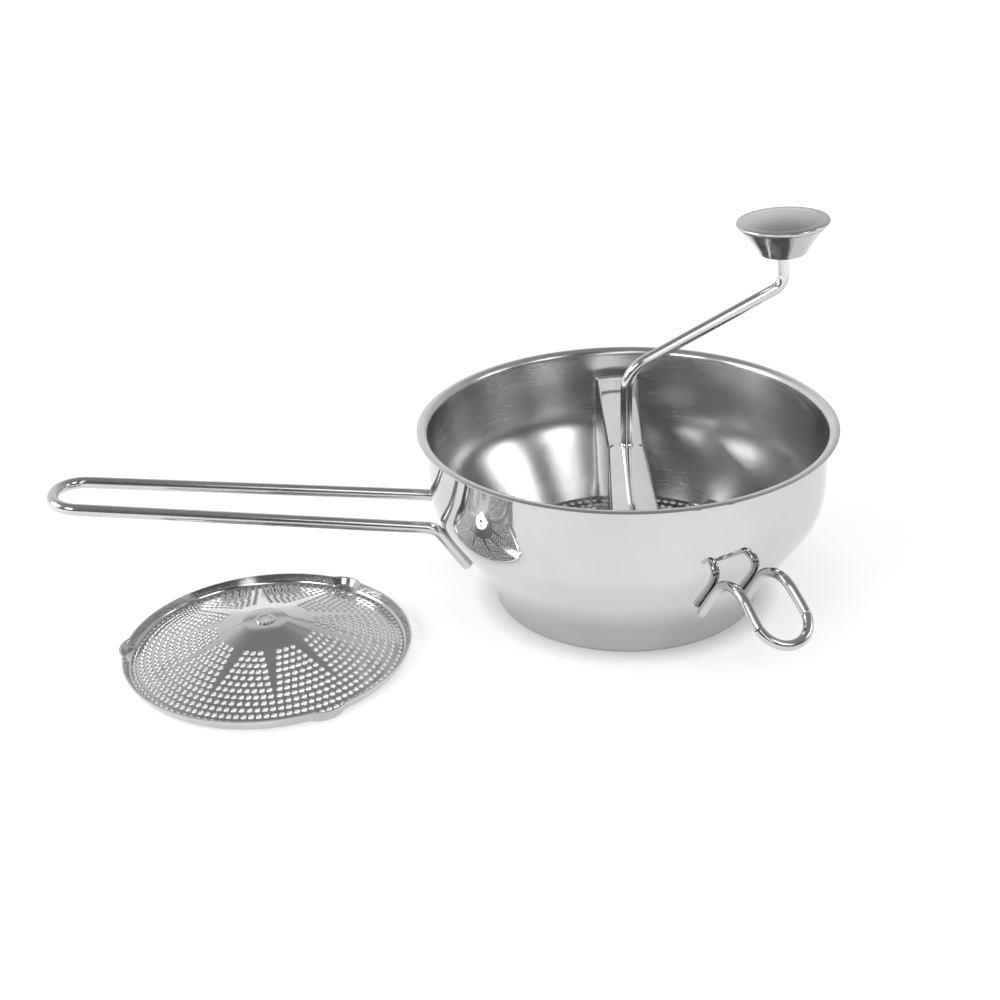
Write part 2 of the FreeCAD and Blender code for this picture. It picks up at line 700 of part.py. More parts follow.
def blade_section():
    """Closed section of the half blade that lies towards +Y, in the XZ plane."""
    thick = cell("blade_sheet").value
    bend = cell("blade_bend").value
    half = cell("blade_width").value / 2
    top = cell("blade_top").value
    lip_bottom = top - cell("blade_lip").value
    wing_bottom = disc_floor

    def spot(across, height):
        return Vector(across, 0, height)

    corner = math.sqrt(0.5)
    inner = bend - thick
    edges = [
        Part.LineSegment(spot(-half, wing_bottom), spot(-half, top - bend)),
        Part.Arc(spot(-half, top - bend),
                 spot(-half + bend * (1 - corner), top - bend * (1 - corner)),
                 spot(-half + bend, top)),
        Part.LineSegment(spot(-half + bend, top), spot(half - bend, top)),
        Part.Arc(spot(half - bend, top),
                 spot(half - bend * (1 - corner), top - bend * (1 - corner)),
                 spot(half, top - bend)),
        Part.LineSegment(spot(half, top - bend), spot(half, lip_bottom)),
        Part.LineSegment(spot(half, lip_bottom), spot(half - thick, lip_bottom)),
        Part.LineSegment(spot(half - thick, lip_bottom), spot(half - thick, top - bend)),
        Part.Arc(spot(half - thick, top - bend),
                 spot(half - bend + inner * corner, top - bend + inner * corner),
                 spot(half - bend, top - thick)),
        Part.LineSegment(spot(half - bend, top - thick), spot(-half + bend, top - thick)),
        Part.Arc(spot(-half + bend, top - thick),
                 spot(-half + bend - inner * corner, top - bend + inner * corner),
                 spot(-half + thick, top - bend)),
        Part.LineSegment(spot(-half + thick, top - bend), spot(-half + thick, wing_bottom)),
        Part.LineSegment(spot(-half + thick, wing_bottom), spot(-half, wing_bottom)),
    ]
    return Part.Face(Part.Wire([edge.toShape() for edge in edges]))


def blade_outline():
    """What the half blade may fill, seen along X: clear of bowl, lugs and disc."""
    reach = blade_reach
    top = cell("blade_top").value
    gap = cell("blade_gap").value
    wall_gap = cell("blade_wall_gap").value
    flange_top = disc_floor + cell("flange_height").value
    lug_top = flange_top + cell("lug_rise").value + 2 * cell("disc_clearance").value + gap
    knee = ledge_high.value + (reach + wall_gap - ledge_high_radius.value) / cone_slope.value
    low_reach = disc_radius - disc_sheet - wall_gap
    boss = boss_radius + gap
    spots = [
        (0, top + gap), (reach, top + gap), (reach, knee),
        (cone_inside(lug_top) - wall_gap, lug_top),
        (low_reach, flange_top + gap * 1.5),
        (low_reach, disc_floor + disc_surface(low_reach) + gap),
        (boss, disc_floor + disc_surface(boss) + gap * 1.5),
        (0, boss_top + gap),
    ]
    points = [Vector(0, along, height) for along, height in spots]
    width = cell("blade_width").value
    for point in points:
        point.x = -width
    return Part.Face(Part.makePolygon(points + [points[0]])).extrude(Vector(2 * width, 0, 0))


def blade_shape():
    bar = blade_section().extrude(Vector(0, blade_reach, 0))
    half = bar.common(blade_outline())
    other = half.copy()
    other.rotate(Vector(0, 0, 0), Vector(0, 0, 1), 180)
    whole = half.fuse(other).removeSplitter()
    hole = Part.makeCylinder(bore_radius.value, 2 * cell("blade_top").value)
    return whole.cut(hole)


blade = shaped("blade", blade_shape())

# Stop collar, welded on the rod between the blade and the disc's bush.
collar_bottom = boss_top + cell("bush_flange").value + cell("disc_clearance").value
blade_collar = ring("blade_collar", bore_radius, cell("collar_radius"),
                    as_size(0), cell("collar_height"))
blade_collar.Placement = Placement(Vector(0, 0, collar_bottom), Rotation())

# ---------------------------------------------------------------- knob
# A cone and a domed cap pressed together round a bush that turns on the post.
upper_corner = Vector(throw.value, 0, cell("crank_top").value)
knob_seat = upper_corner + post_direction() * standoff.value
knob_place = Placement(arm_turn.multVec(knob_seat),
                       arm_turn * Rotation(Vector(0, 1, 0), -lean.value))
knob_sheet = cell("knob_sheet")
knob_gap = cell("knob_gap")
knob_bush_radius = cell("knob_bush_radius")
knob_rise = cell("knob_rise")
neck = cell("knob_neck_radius")
foot = cell("knob_foot_radius")
corner = cell("knob_corner")
knob_flare = cell("knob_flare")

knob_skirt = turned("knob_skirt", [
    (knob_bush_radius + cell("run_gap"), as_size(0)),
    (foot - corner, as_size(0), corner, 1),
    (foot, corner, knob_flare, -1),
    (neck, knob_rise),
    (neck - knob_sheet, knob_rise, knob_flare, 1),
    (foot - knob_sheet, corner),
    (foot - corner - knob_sheet, knob_sheet),
    (knob_bush_radius + cell("run_gap"), knob_sheet),
])
knob_skirt.Placement = knob_place

cap_radius = cell("knob_radius")
cap_rim = cell("knob_rim")
dome = cell("knob_dome")
dome_radius = (cap_radius * cap_radius + dome * dome) / (dome * 2)
cap_floor = knob_rise + cell("run_gap")
cap_edge = cap_rim - cap_floor
inner_radius = cap_radius - knob_sheet
inner_dome = dome - knob_sheet
inner_dome_radius = (inner_radius * inner_radius + inner_dome * inner_dome) / (inner_dome * 2)
knob_cap = turned("knob_cap", [
    (as_size(0), cap_rim + inner_dome, inner_dome_radius, -1),
    (inner_radius, cap_rim),
    (inner_radius, cap_floor + knob_sheet),
    (knob_bush_radius + cell("run_gap"), cap_floor + knob_sheet),
    (knob_bush_radius + cell("run_gap"), cap_floor),
    (cap_radius - cap_edge, cap_floor, cap_edge, 1),
    (cap_radius, cap_rim, dome_radius, 1),
    (as_size(0), cap_rim + dome),
])
knob_cap.Placement = knob_place

knob_bush = ring("knob_bush", bore_radius, knob_bush_radius, as_size(0), knob_rise)
knob_bush.Placement = knob_place

knob_washer = ring("knob_washer", bore_radius, cell("washer_radius"),
                   -washer - knob_gap, -knob_gap)
knob_washer.Placement = knob_place

knob_retainer = ring("knob_retainer", bore_radius, cell("retainer_radius"),
                     knob_rise + knob_gap, knob_rise + knob_gap + washer)
knob_retainer.Placement = knob_place

# ---------------------------------------------------------------- output
PIECES = [
    bowl, handle, rest_hook_front, rest_hook_back, disc_lugs,
    disc_plate, disc_bush_piece, disc_washer,
    spring, spring_cup,
    crank_rod, blade, blade_collar, cup_washer, cross_pin, knob_washer, knob_retainer,
    knob_skirt, knob_cap, knob_bush,
    spare_disc_plate, spare_bush_piece,
]
doc.recompute()
for item in doc.Objects:
    if {"Invalid", "Error"} & set(item.State):
        raise RuntimeError(f"{item.Label} failed: {item.State}")
for piece in PIECES:
    if piece.Shape.isNull() or not piece.Shape.isValid():
        raise RuntimeError(f"{piece.Label} has no valid shape")
for piece in PIECES:
    piece.Shape.exportStep(f"parts/{piece.Label}.step")
    box = piece.Shape.BoundBox
    print(f"{piece.Label:18s} solids {len(piece.Shape.Solids)} volume {piece.Shape.Volume:9.1f}"
          f" z {box.ZMin:7.2f} {box.ZMax:7.2f} x {box.XMin:7.1f} {box.XMax:7.1f}")
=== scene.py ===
import json
import math

import bmesh
import bpy
from mathutils import Matrix, Vector


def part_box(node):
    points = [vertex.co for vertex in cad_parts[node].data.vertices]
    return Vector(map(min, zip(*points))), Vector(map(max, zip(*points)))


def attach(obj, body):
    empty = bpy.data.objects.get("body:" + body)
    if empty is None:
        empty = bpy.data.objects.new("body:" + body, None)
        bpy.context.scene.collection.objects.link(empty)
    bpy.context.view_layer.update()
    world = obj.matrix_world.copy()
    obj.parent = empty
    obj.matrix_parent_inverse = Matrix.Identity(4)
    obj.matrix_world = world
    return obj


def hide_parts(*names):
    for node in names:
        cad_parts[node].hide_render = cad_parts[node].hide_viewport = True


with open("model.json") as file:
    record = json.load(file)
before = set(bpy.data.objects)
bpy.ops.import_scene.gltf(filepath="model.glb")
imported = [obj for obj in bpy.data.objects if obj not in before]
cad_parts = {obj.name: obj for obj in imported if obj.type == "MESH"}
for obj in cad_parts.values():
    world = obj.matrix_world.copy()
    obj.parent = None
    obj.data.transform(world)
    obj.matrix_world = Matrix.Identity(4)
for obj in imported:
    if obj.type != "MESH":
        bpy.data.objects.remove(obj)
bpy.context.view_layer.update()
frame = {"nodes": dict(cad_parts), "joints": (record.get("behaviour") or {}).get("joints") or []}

mm = 0.001
nodes = frame["nodes"]
rim_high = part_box("bowl")[1]

# ------------------------------------------------------------------ bowl
# Spun from one stainless sheet on a chuck: skirt, 45 degree ledge for the
# disc, cone, round shoulder, upright wall and a lip rolled outwards. Mirror
# polished outside, left with fine turning lines and a satin sheen inside.
SHEET = 0.9 * mm
RIM_RADIUS = rim_high.x
RIM_TOP = rim_high.z
LIP_BEND = 4.2 * mm
WALL_RADIUS = 114.3 * mm
SHOULDER_REACH = 26.5 * mm
FOOT_RADIUS = 77.2 * mm
SKIRT_STRAIGHT = 4 * mm
LEDGE_LOW = Vector((78.25 * mm, 11.35 * mm))
LEDGE_HIGH = LEDGE_LOW + Vector((5.05 * mm, 5.05 * mm))
CONE_LEAN = math.radians(34.3)
BOWL_TURNS = 288


def arc(centre, radius, start, end, steps):
    """Points on an arc, from the start to the end angle in degrees."""
    points = []
    for step in range(steps + 1):
        angle = math.radians(start + (end - start) * step / steps)
        points.append(Vector((centre[0] + radius * math.cos(angle),
                              centre[1] + radius * math.sin(angle))))
    return points


def spun(name, runs, turns, close=True):
    """A turned mesh. Each run is (points, material index); the runs follow each other."""
    outline, indices = [], []
    for points, index in runs:
        for point in points:
            if outline and (Vector(point) - outline[-1]).length < 1e-7:
                indices[-1] = index
                continue
            outline.append(Vector(point))
            indices.append(index)
    if close and (outline[0] - outline[-1]).length < 1e-7:
        outline.pop()
        indices.pop()
    shape = bmesh.new()
    rings = []
    for radius, height in outline:
        if radius < 1e-7:
            rings.append([shape.verts.new((0, 0, height))])
            continue
        ring = []
        for turn in range(turns):
            angle = 2 * math.pi * turn / turns
            ring.append(shape.verts.new((radius * math.cos(angle), radius * math.sin(angle),
                                         height)))
        rings.append(ring)
    last = len(rings) if close else len(rings) - 1
    for row in range(last):
        here, above = rings[row], rings[(row + 1) % len(rings)]
        if len(here) == 1 and len(above) == 1:
            continue
        for turn in range(turns):
            after = (turn + 1) % turns
            if len(here) == 1:
                corners = (here[0], above[after], above[turn])
            elif len(above) == 1:
                corners = (here[turn], here[after], above[0])
            else:
                corners = (here[turn], here[after], above[after], above[turn])
            shape.faces.new(corners).material_index = indices[row]
    bmesh.ops.recalc_face_normals(shape, faces=shape.faces)
    return finished(name, shape, 40)


def finished(name, shape, crease):
    """Turns a bmesh into a smooth object; edges sharper than the crease angle stay sharp."""
    mesh = bpy.data.meshes.new(name)
    shape.to_mesh(mesh)
    shape.free()
    mesh.shade_smooth()
    mesh.set_sharp_from_angle(angle=math.radians(crease))
    piece = bpy.data.objects.new(name, mesh)
    bpy.context.scene.collection.objects.link(piece)
    return piece


def clothe(piece, *materials):
    """Gives a piece its materials, in the order of its faces' indices."""
    slots = piece.data.materials
    for index, material in enumerate(materials):
        if index < len(slots):
            slots[index] = material
        else:
            slots.append(material)


def new_group(name, inputs, outputs):
    """An empty shader node group with named sockets."""
    group = bpy.data.node_groups.new(name, "ShaderNodeTree")
    for label, kind, value in inputs:
        socket = group.interface.new_socket(label, in_out="INPUT", socket_type=kind)
        socket.default_value = value
    for label, kind in outputs:
        group.interface.new_socket(label, in_out="OUTPUT", socket_type=kind)
    source = group.nodes.new("NodeGroupInput")
    sink = group.nodes.new("NodeGroupOutput")
    return group, source, sink


def math_node(tree, operation, first, second=None, third=None):
    """One Math node; each term is a socket or a number."""
    node = tree.nodes.new("ShaderNodeMath")
    node.operation = operation
    for slot_index, term in enumerate((first, second, third)):
        if term is None:
            continue
        if isinstance(term, (int, float)):
            node.inputs[slot_index].default_value = term
        else:
            tree.links.new(term, node.inputs[slot_index])
    return node.outputs[0]


def turning_lines_group():
    """Fine rings round the Z axis, as a lathe or a buffing wheel leaves them."""
    group, source, sink = new_group(
        "turning_lines",
        [("Rings per metre", "NodeSocketFloat", 2500.0), ("Breaks", "NodeSocketFloat", 6.0),
         ("Centre", "NodeSocketVector", (0.0, 0.0, 0.0))],
        [("Lines", "NodeSocketFloat"), ("Cloud", "NodeSocketFloat")],
    )
    place = group.nodes.new("ShaderNodeTexCoord")
    offset = group.nodes.new("ShaderNodeVectorMath")
    offset.operation = "SUBTRACT"
    group.links.new(place.outputs["Object"], offset.inputs[0])
    group.links.new(source.outputs["Centre"], offset.inputs[1])
    split = group.nodes.new("ShaderNodeSeparateXYZ")
    group.links.new(offset.outputs[0], split.inputs[0])
    flat = math_node(group, "SQRT", math_node(
        group, "ADD",
        math_node(group, "MULTIPLY", split.outputs[0], split.outputs[0]),
        math_node(group, "MULTIPLY", split.outputs[1], split.outputs[1])))
    angle = math_node(group, "ARCTAN2", split.outputs[1], split.outputs[0])
    along = math_node(group, "ADD", flat, math_node(group, "MULTIPLY", split.outputs[2], 1.3))
    joined = group.nodes.new("ShaderNodeCombineXYZ")
    group.links.new(math_node(group, "MULTIPLY", along, source.outputs[0]), joined.inputs[0])
    for slot_index, wave in ((1, "SINE"), (2, "COSINE")):
        turned = math_node(group, wave, angle)
        group.links.new(math_node(group, "MULTIPLY", turned, source.outputs[1]),
                        joined.inputs[slot_index])
    lines = group.nodes.new("ShaderNodeTexNoise")
    lines.inputs["Scale"].default_value = 1.0
    lines.inputs["Detail"].default_value = 3.0
    lines.inputs["Roughness"].default_value = 0.65
    group.links.new(joined.outputs[0], lines.inputs["Vector"])
    cloud = group.nodes.new("ShaderNodeTexNoise")
    cloud.inputs["Scale"].default_value = 22.0
    cloud.inputs["Detail"].default_value = 4.0
    group.links.new(place.outputs["Object"], cloud.inputs["Vector"])
    group.links.new(lines.outputs["Fac"], sink.inputs[0])
    group.links.new(cloud.outputs["Fac"], sink.inputs[1])
    return group


TURNING_LINES = turning_lines_group()


def ranged(tree, value, low, high):
    """Maps a 0..1 socket to the range from low to high."""
    node = tree.nodes.new("ShaderNodeMapRange")
    tree.links.new(value, node.inputs[0])
    node.inputs[1].default_value = 0.3
    node.inputs[2].default_value = 0.7
    node.inputs[3].default_value = low
    node.inputs[4].default_value = high
    return node.outputs[0]


def steel(name, dark, light, smooth, rough, rings=2500.0, depth=0.0, stretch=0.0, centre=None,
          wire=False):
    """Stainless steel with turning lines; the tone and the gloss drift over the surface.

    The gloss is drawn out by stretch across the lines, or round a wire."""
    material = bpy.data.materials.new(name)
    material.use_nodes = True
    tree = material.node_tree
    shader = tree.nodes["Principled BSDF"]
    shader.inputs["Metallic"].default_value = 1.0
    shader.inputs["Anisotropic"].default_value = stretch
    shader.inputs["Anisotropic Rotation"].default_value = 0.0 if wire else 0.25
    lines = tree.nodes.new("ShaderNodeGroup")
    lines.node_tree = TURNING_LINES
    lines.inputs[0].default_value = rings
    if centre:
        lines.inputs["Centre"].default_value = centre
    tone = tree.nodes.new("ShaderNodeMix")
    tone.data_type = "RGBA"
    tone.inputs[6].default_value = (*dark, 1)
    tone.inputs[7].default_value = (*light, 1)
    tree.links.new(ranged(tree, lines.outputs["Cloud"], 0.0, 1.0), tone.inputs[0])
    tree.links.new(tone.outputs[2], shader.inputs["Base Color"])
    both = math_node(tree, "ADD",
                     math_node(tree, "MULTIPLY", lines.outputs["Lines"], 0.6),
                     math_node(tree, "MULTIPLY", lines.outputs["Cloud"], 0.4))
    tree.links.new(ranged(tree, both, smooth, rough), shader.inputs["Roughness"])
    if stretch:
        around = tree.nodes.new("ShaderNodeTangent")
        around.direction_type = "UV_MAP" if wire else "RADIAL"
        if wire:
            around.uv_map = "around"
        else:
            around.axis = "Z"
        tree.links.new(around.outputs[0], shader.inputs["Tangent"])
    if depth:
        bump = tree.nodes.new("ShaderNodeBump")
        bump.inputs["Strength"].default_value = 1.0
        bump.inputs["Distance"].default_value = depth
        tree.links.new(lines.outputs["Lines"], bump.inputs["Height"])
        tree.links.new(bump.outputs[0], shader.inputs["Normal"])
    return material


def eased(before, corner, after, reach, steps=6):
    """The soft bend of a sheet at a corner, from reach before it to reach after it."""
    first = corner + (before - corner).normalized() * reach
    last = corner + (after - corner).normalized() * reach
    bend = []
    for step in range(steps + 1):
        share = step / steps
        bend.append(first.lerp(corner, share).lerp(corner.lerp(last, share), share))
    return bend


def flowing(before, corner, after, reach, steps=26):
    """A spun shoulder: its bend starts and ends without a break in the polish."""
    first = corner + (before - corner).normalized() * reach
    last = corner + (after - corner).normalized() * reach
    bend = []
    for step in range(steps + 1):
        share = step / steps
        bend.append(first * (1 - share) ** 3 + last * share**3
                    + corner * (3 * share * (1 - share)))
    return bend


def bowl_sections():
    """Outside from foot to lip, the lip itself, and the inside back down."""
    slope = math.tan(CONE_LEAN)
    corner = Vector((WALL_RADIUS, LEDGE_HIGH.y + (WALL_RADIUS - LEDGE_HIGH.x) / slope))
    down_cone = Vector((-math.sin(CONE_LEAN), -math.cos(CONE_LEAN)))
    up_wall = Vector((0, 1))
    inner_corner = corner - Vector((SHEET, SHEET * math.tan(CONE_LEAN / 2)))
    lip_centre = (WALL_RADIUS - SHEET + LIP_BEND, RIM_TOP - LIP_BEND)
    lip_end = math.degrees(math.acos((RIM_RADIUS - lip_centre[0]) / LIP_BEND))
    inner_cone = SHEET / math.cos(CONE_LEAN)
    inner_ledge = SHEET * math.sqrt(2)
    rise = (inner_ledge - inner_cone) / (1 - slope)
    soft = 0.4 * mm
    skirt_top = Vector((FOOT_RADIUS, SKIRT_STRAIGHT - 1 * mm))
    ledge_middle = LEDGE_LOW + Vector((0.25, -1.0)) * mm
    cone_foot = Vector((LEDGE_HIGH.x + slope * 3.7 * mm, LEDGE_HIGH.y + 3.7 * mm))
    foot_edge = [(FOOT_RADIUS - SHEET + soft, 0)]
    foot_edge += arc((FOOT_RADIUS - soft, soft), soft, -90, 0, 4)
    outside = [(FOOT_RADIUS, soft)]
    for step in range(25):
        share = step / 24
        below = skirt_top.lerp(ledge_middle, share)
        outside.append(below.lerp(ledge_middle.lerp(cone_foot, share), share))
    outside += flowing(corner + down_cone, corner, corner + up_wall, SHOULDER_REACH)
    lip_under = arc(lip_centre, LIP_BEND - SHEET, 180, lip_end, 12)
    lip_over = arc(lip_centre, LIP_BEND, lip_end, 180, 22)
    inside = flowing(inner_corner + up_wall, inner_corner, inner_corner + down_cone, SHOULDER_REACH)
    inside += [
        (LEDGE_HIGH.x + rise - inner_ledge + 0.3 * mm, LEDGE_HIGH.y + rise + 0.44 * mm),
        (LEDGE_HIGH.x + rise - inner_ledge - 0.3 * mm, LEDGE_HIGH.y + rise - 0.3 * mm),
        (LEDGE_LOW.x - SHEET + 0.2 * mm, LEDGE_LOW.y + 0.57 * mm),
        (LEDGE_LOW.x - SHEET, LEDGE_LOW.y),
        (FOOT_RADIUS - SHEET, SKIRT_STRAIGHT), (FOOT_RADIUS - SHEET, soft),
        (FOOT_RADIUS - SHEET + soft, 0),
    ]
    return [(foot_edge, 3), (outside, 0), (lip_under, 0), (lip_over, 1), (inside, 2)]


mirror_outside = steel("mirror_steel", (0.57, 0.57, 0.57), (0.63, 0.63, 0.63), 0.015, 0.035,
                       rings=1800.0, depth=0.000001)
satin_lip = steel("satin_lip", (0.62, 0.62, 0.62), (0.70, 0.70, 0.70), 0.20, 0.30,
                  rings=5000.0, depth=0.00001, stretch=0.4)
satin_inside = steel("satin_inside", (0.58, 0.58, 0.58), (0.68, 0.68, 0.68), 0.21, 0.29,
                     rings=3500.0, depth=0.00001, stretch=0.25)
# The foot's rounded edge: dull steel toned near black, a painted contact shadow under the foot.
painted_foot_shadow = steel("painted_foot_shadow", (0.14, 0.14, 0.14), (0.22, 0.22, 0.22), 0.30, 0.45, rings=6000.0)
bowl = spun("bowl_sheet", bowl_sections(), BOWL_TURNS)
clothe(bowl, mirror_outside, satin_lip, satin_inside, painted_foot_shadow)
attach(bowl, "bowl_body")
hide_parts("bowl")

# ------------------------------------------------------------------ handle
# One long round wire bent to a slim U that narrows outwards; both ends turn
# down and are spot welded along the cone. Polished along its length.
HANDLE_WIRE = 7 * mm
HANDLE_SPREAD = 21.8 * mm
HANDLE_END_SPREAD = 18 * mm
HANDLE_BEND_HEIGHT = 53.5 * mm
HANDLE_FOOT_HEIGHT = 28.4 * mm
HANDLE_LENGTH = 222 * mm
HANDLE_RISE = 0.089
WELD_GAP = 0.2 * mm
HANDLE_BEND = 12 * mm
HANDLE_END_BEND = 17 * mm


def cone_outside(height):
    """Radius of the bowl's outer cone at a height."""
    return LEDGE_HIGH.x + math.tan(CONE_LEAN) * (height - LEDGE_HIGH.y)


def wire_route(points, radii):
    """Straight runs joined by tangent arcs, as a list of close points."""
    route = [points[0]]
    for index in range(1, len(points) - 1):
        corner = points[index]
        back = (points[index - 1] - corner).normalized()
        ahead = (points[index + 1] - corner).normalized()
        turn = math.pi - back.angle(ahead)
        radius = radii[index - 1]
        first = corner + back * radius * math.tan(turn / 2)
        centre = corner + (back + ahead).normalized() * (radius / math.cos(turn / 2))
        spoke = first - centre
        axis = (-back).cross(ahead).normalized()
        steps = max(8, int(math.degrees(turn) / 4))
        for step in range(steps + 1):
            spot = centre + Matrix.Rotation(turn * step / steps, 3, axis) @ spoke
            if (spot - route[-1]).length > 1e-6:
                route.append(spot)
    route.append(points[-1])
    return route


def wire_piece(name, route, diameter, sides=40):
    """A round wire along a route, its cut ends slightly broken."""
    soften = diameter * 0.06
    shape = bmesh.new()
    heading = (route[1] - route[0]).normalized()
    aside = heading.orthogonal().normalized()
    rings = []

    def add_ring(spot, radius, across, over):
        ring = []
        for side in range(sides):
            angle = 2 * math.pi * side / sides
            ring.append(shape.verts.new(
                spot + (across * math.cos(angle) + over * math.sin(angle)) * radius))
        rings.append(ring)

    for index, spot in enumerate(route):
        before = route[max(index - 1, 0)]
        after = route[min(index + 1, len(route) - 1)]
        towards = (after - before).normalized()
        if 0 < index < len(route) - 1:
            towards = ((spot - before).normalized() + (after - spot).normalized()).normalized()
        aside = heading.rotation_difference(towards) @ aside
        heading = towards
        over = heading.cross(aside)
        if index == 0:
            add_ring(spot, diameter / 2 - soften, aside, over)
            add_ring(spot + heading * soften, diameter / 2, aside, over)
        elif index == len(route) - 1:
            add_ring(spot - heading * soften, diameter / 2, aside, over)
            add_ring(spot, diameter / 2 - soften, aside, over)
        else:
            add_ring(spot, diameter / 2, aside, over)
    around = shape.loops.layers.uv.new("around")
    for row, (here, ahead) in enumerate(zip(rings, rings[1:])):
        for side in range(sides):
            after = (side + 1) % sides
            face = shape.faces.new((here[side], here[after], ahead[after], ahead[side]))
            spots = ((side, row), (side + 1, row), (side + 1, row + 1), (side, row + 1))
            for loop, (u, v) in zip(face.loops, spots):
                loop[around].uv = (u / sides, v / len(rings))
    shape.faces.new(rings[0][::-1])
    shape.faces.new(rings[-1])
    bmesh.ops.recalc_face_normals(shape, faces=shape.faces)
    return finished(name, shape, 40)


def handle_route():
    seat = (HANDLE_WIRE / 2 + WELD_GAP) / math.cos(CONE_LEAN)

    def on_wall(height, side):
        radius = cone_outside(height) + seat
        across = math.sqrt(radius**2 - HANDLE_SPREAD**2)
        return Vector((-across, side * HANDLE_SPREAD, height))

    def outer(side):
        start = on_wall(HANDLE_BEND_HEIGHT, side)
        return Vector((start.x - HANDLE_LENGTH, side * HANDLE_END_SPREAD,
                       HANDLE_BEND_HEIGHT + HANDLE_LENGTH * HANDLE_RISE))

    corners = [on_wall(HANDLE_FOOT_HEIGHT, -1), on_wall(HANDLE_BEND_HEIGHT, -1), outer(-1),
               outer(1), on_wall(HANDLE_BEND_HEIGHT, 1), on_wall(HANDLE_FOOT_HEIGHT, 1)]
    return wire_route(corners, [HANDLE_BEND, HANDLE_END_BEND, HANDLE_END_BEND, HANDLE_BEND])


wire_steel = steel("wire_steel", (0.56, 0.56, 0.56), (0.64, 0.64, 0.64), 0.15, 0.22,
                   rings=900.0, depth=0.000003, stretch=0.55, wire=True)
handle = wire_piece("handle_wire", handle_route(), HANDLE_WIRE)
clothe(handle, wire_steel)
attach(handle, "bowl_body")
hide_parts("handle")

# ------------------------------------------------------------------ rest hooks
# Two hooks of round wire that hang the bowl on a pan's rim: legs welded up the
# cone, an arch outwards and down, and a loop whose legs bow out a little
# before its round end. Polished like the handle.
HOOK_WIRE = 5.6 * mm
HOOK_TURN = math.radians(62)
HOOK_SPREAD = 14 * mm
HOOK_FOOT_HEIGHT = 31.7 * mm
HOOK_LEG = 25.2 * mm
HOOK_ARCH = 18 * mm
HOOK_DIP = math.radians(37.6)
HOOK_REACH = 14.2 * mm
HOOK_BELLY = 11.5 * mm
HOOK_BULGE = 1.1
HOOK_BELLY_BEND = 65 * mm
HOOK_END_BEND = 15 * mm


def hook_route(turn):
    seat = (HOOK_WIRE / 2 + WELD_GAP) / math.cos(CONE_LEAN)
    foot_out = math.sqrt((cone_outside(HOOK_FOOT_HEIGHT) + seat) ** 2 - HOOK_SPREAD**2)
    up_wall = Vector((math.sin(CONE_LEAN), 0, math.cos(CONE_LEAN)))
    outwards = Vector((math.cos(HOOK_DIP), 0, -math.sin(HOOK_DIP)))
    arch_reach = HOOK_ARCH * math.tan((math.pi / 2 - CONE_LEAN + HOOK_DIP) / 2)
    foot = Vector((foot_out, 0, HOOK_FOOT_HEIGHT))
    corner = foot + up_wall * (HOOK_LEG + arch_reach)
    belly = corner + outwards * (arch_reach + HOOK_BELLY)
    end = corner + outwards * (arch_reach + HOOK_REACH + HOOK_SPREAD)
    aside = Vector((0, HOOK_SPREAD, 0))
    leg = [foot - aside, corner - aside, belly - aside * HOOK_BULGE, end - aside]
    corners = leg + [Vector((spot.x, -spot.y, spot.z)) for spot in reversed(leg)]
    placed = [Matrix.Rotation(turn, 3, "Z") @ spot for spot in corners]
    bends = [HOOK_ARCH, HOOK_BELLY_BEND, HOOK_END_BEND]
    return wire_route(placed, bends + bends[::-1])


for node, turn in (("rest_hook_front", -HOOK_TURN), ("rest_hook_back", HOOK_TURN)):
    hook = wire_piece(f"{node}_wire", hook_route(turn), HOOK_WIRE, 32)
    clothe(hook, wire_steel)
    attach(hook, "bowl_body")
    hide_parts(node)

# ------------------------------------------------------------------ disc lugs
# Three small wedges welded inside the cone, under which the disc's lobes turn.
# They keep the plain satin of cut and tumbled steel.
LUG_RISE = 1.8 * mm
small_steel = steel("small_part_steel", (0.50, 0.50, 0.50), (0.62, 0.62, 0.62), 0.22, 0.38,
                    rings=4000.0, depth=0.00001)
clothe(nodes["disc_lugs"], small_steel)

# ------------------------------------------------------------------ discs
# Pressed from one sheet: a cone with twelve rows of punched holes between ten
# rays, a flat boss and an upturned flange with three lobes. Punching leaves a
# burr round each hole, its steel toned lighter as a painted glint. The loose
# disc's flange is lower and leans out.
DISC_SHEET = 1 * mm
DISC_RADIUS = 79.66 * mm
FLANGE_HEIGHT = 9.66 * mm
FLANGE_BEVEL = 2.4 * mm
FLANGE_BEVEL_SLOPE = 0.75
INSTALLED_RIM = (DISC_RADIUS, FLANGE_HEIGHT, 0)
SPARE_RIM = (81.0 * mm, 6.6 * mm, 0.38)
INSTALLED_TURN = math.radians(-14)
SPARE_PLACE = Vector((-207.5 * mm, -63.4 * mm, 0))
CONE_FOOT = 76.6 * mm
BOSS_RADIUS = 12.7 * mm
BOSS_HEIGHT = 21.3 * mm
DISC_BORE = 4.5 * mm
LOBE_REACH = 83.9 * mm
LOBE_RADIUS = 15.3 * mm
LOBE_DRAFT = 0.6
LOBE_BLEND = 0.5 * mm
LOBES = 3
ROW_PITCH = 4.2 * mm
HOLE_PITCH = 4.4 * mm
FIRST_ROW = 28.6 * mm
HOLE_ROWS = 12
HOLE_RADIUS = 1.3 * mm
BURR = 0.3 * mm
# Round a hole, from the sheet over the burr and down: shares of its radius and of the burr.
BURR_FORM = ((1.26, 0.0), (1.13, 0.7), (1.0, 0.9), (0.86, 0.5), (0.70, -0.4))
RAYS = 10
RAY_TURN = math.radians(-7.4)
RAY_WIDTH = 5.8 * mm
RAY_TIP = 62 * mm
DISC_SLOPE = (BOSS_HEIGHT - DISC_SHEET) / (CONE_FOOT - BOSS_RADIUS)


def cone_top(radius):
    """Height of the disc's upper face over its own foot."""
    return DISC_SHEET + (CONE_FOOT - radius) * DISC_SLOPE


def cone_under(radius):
    """Height of the disc's lower face, which ends flat on its foot."""
    return max(cone_top(radius) - DISC_SHEET, 0)


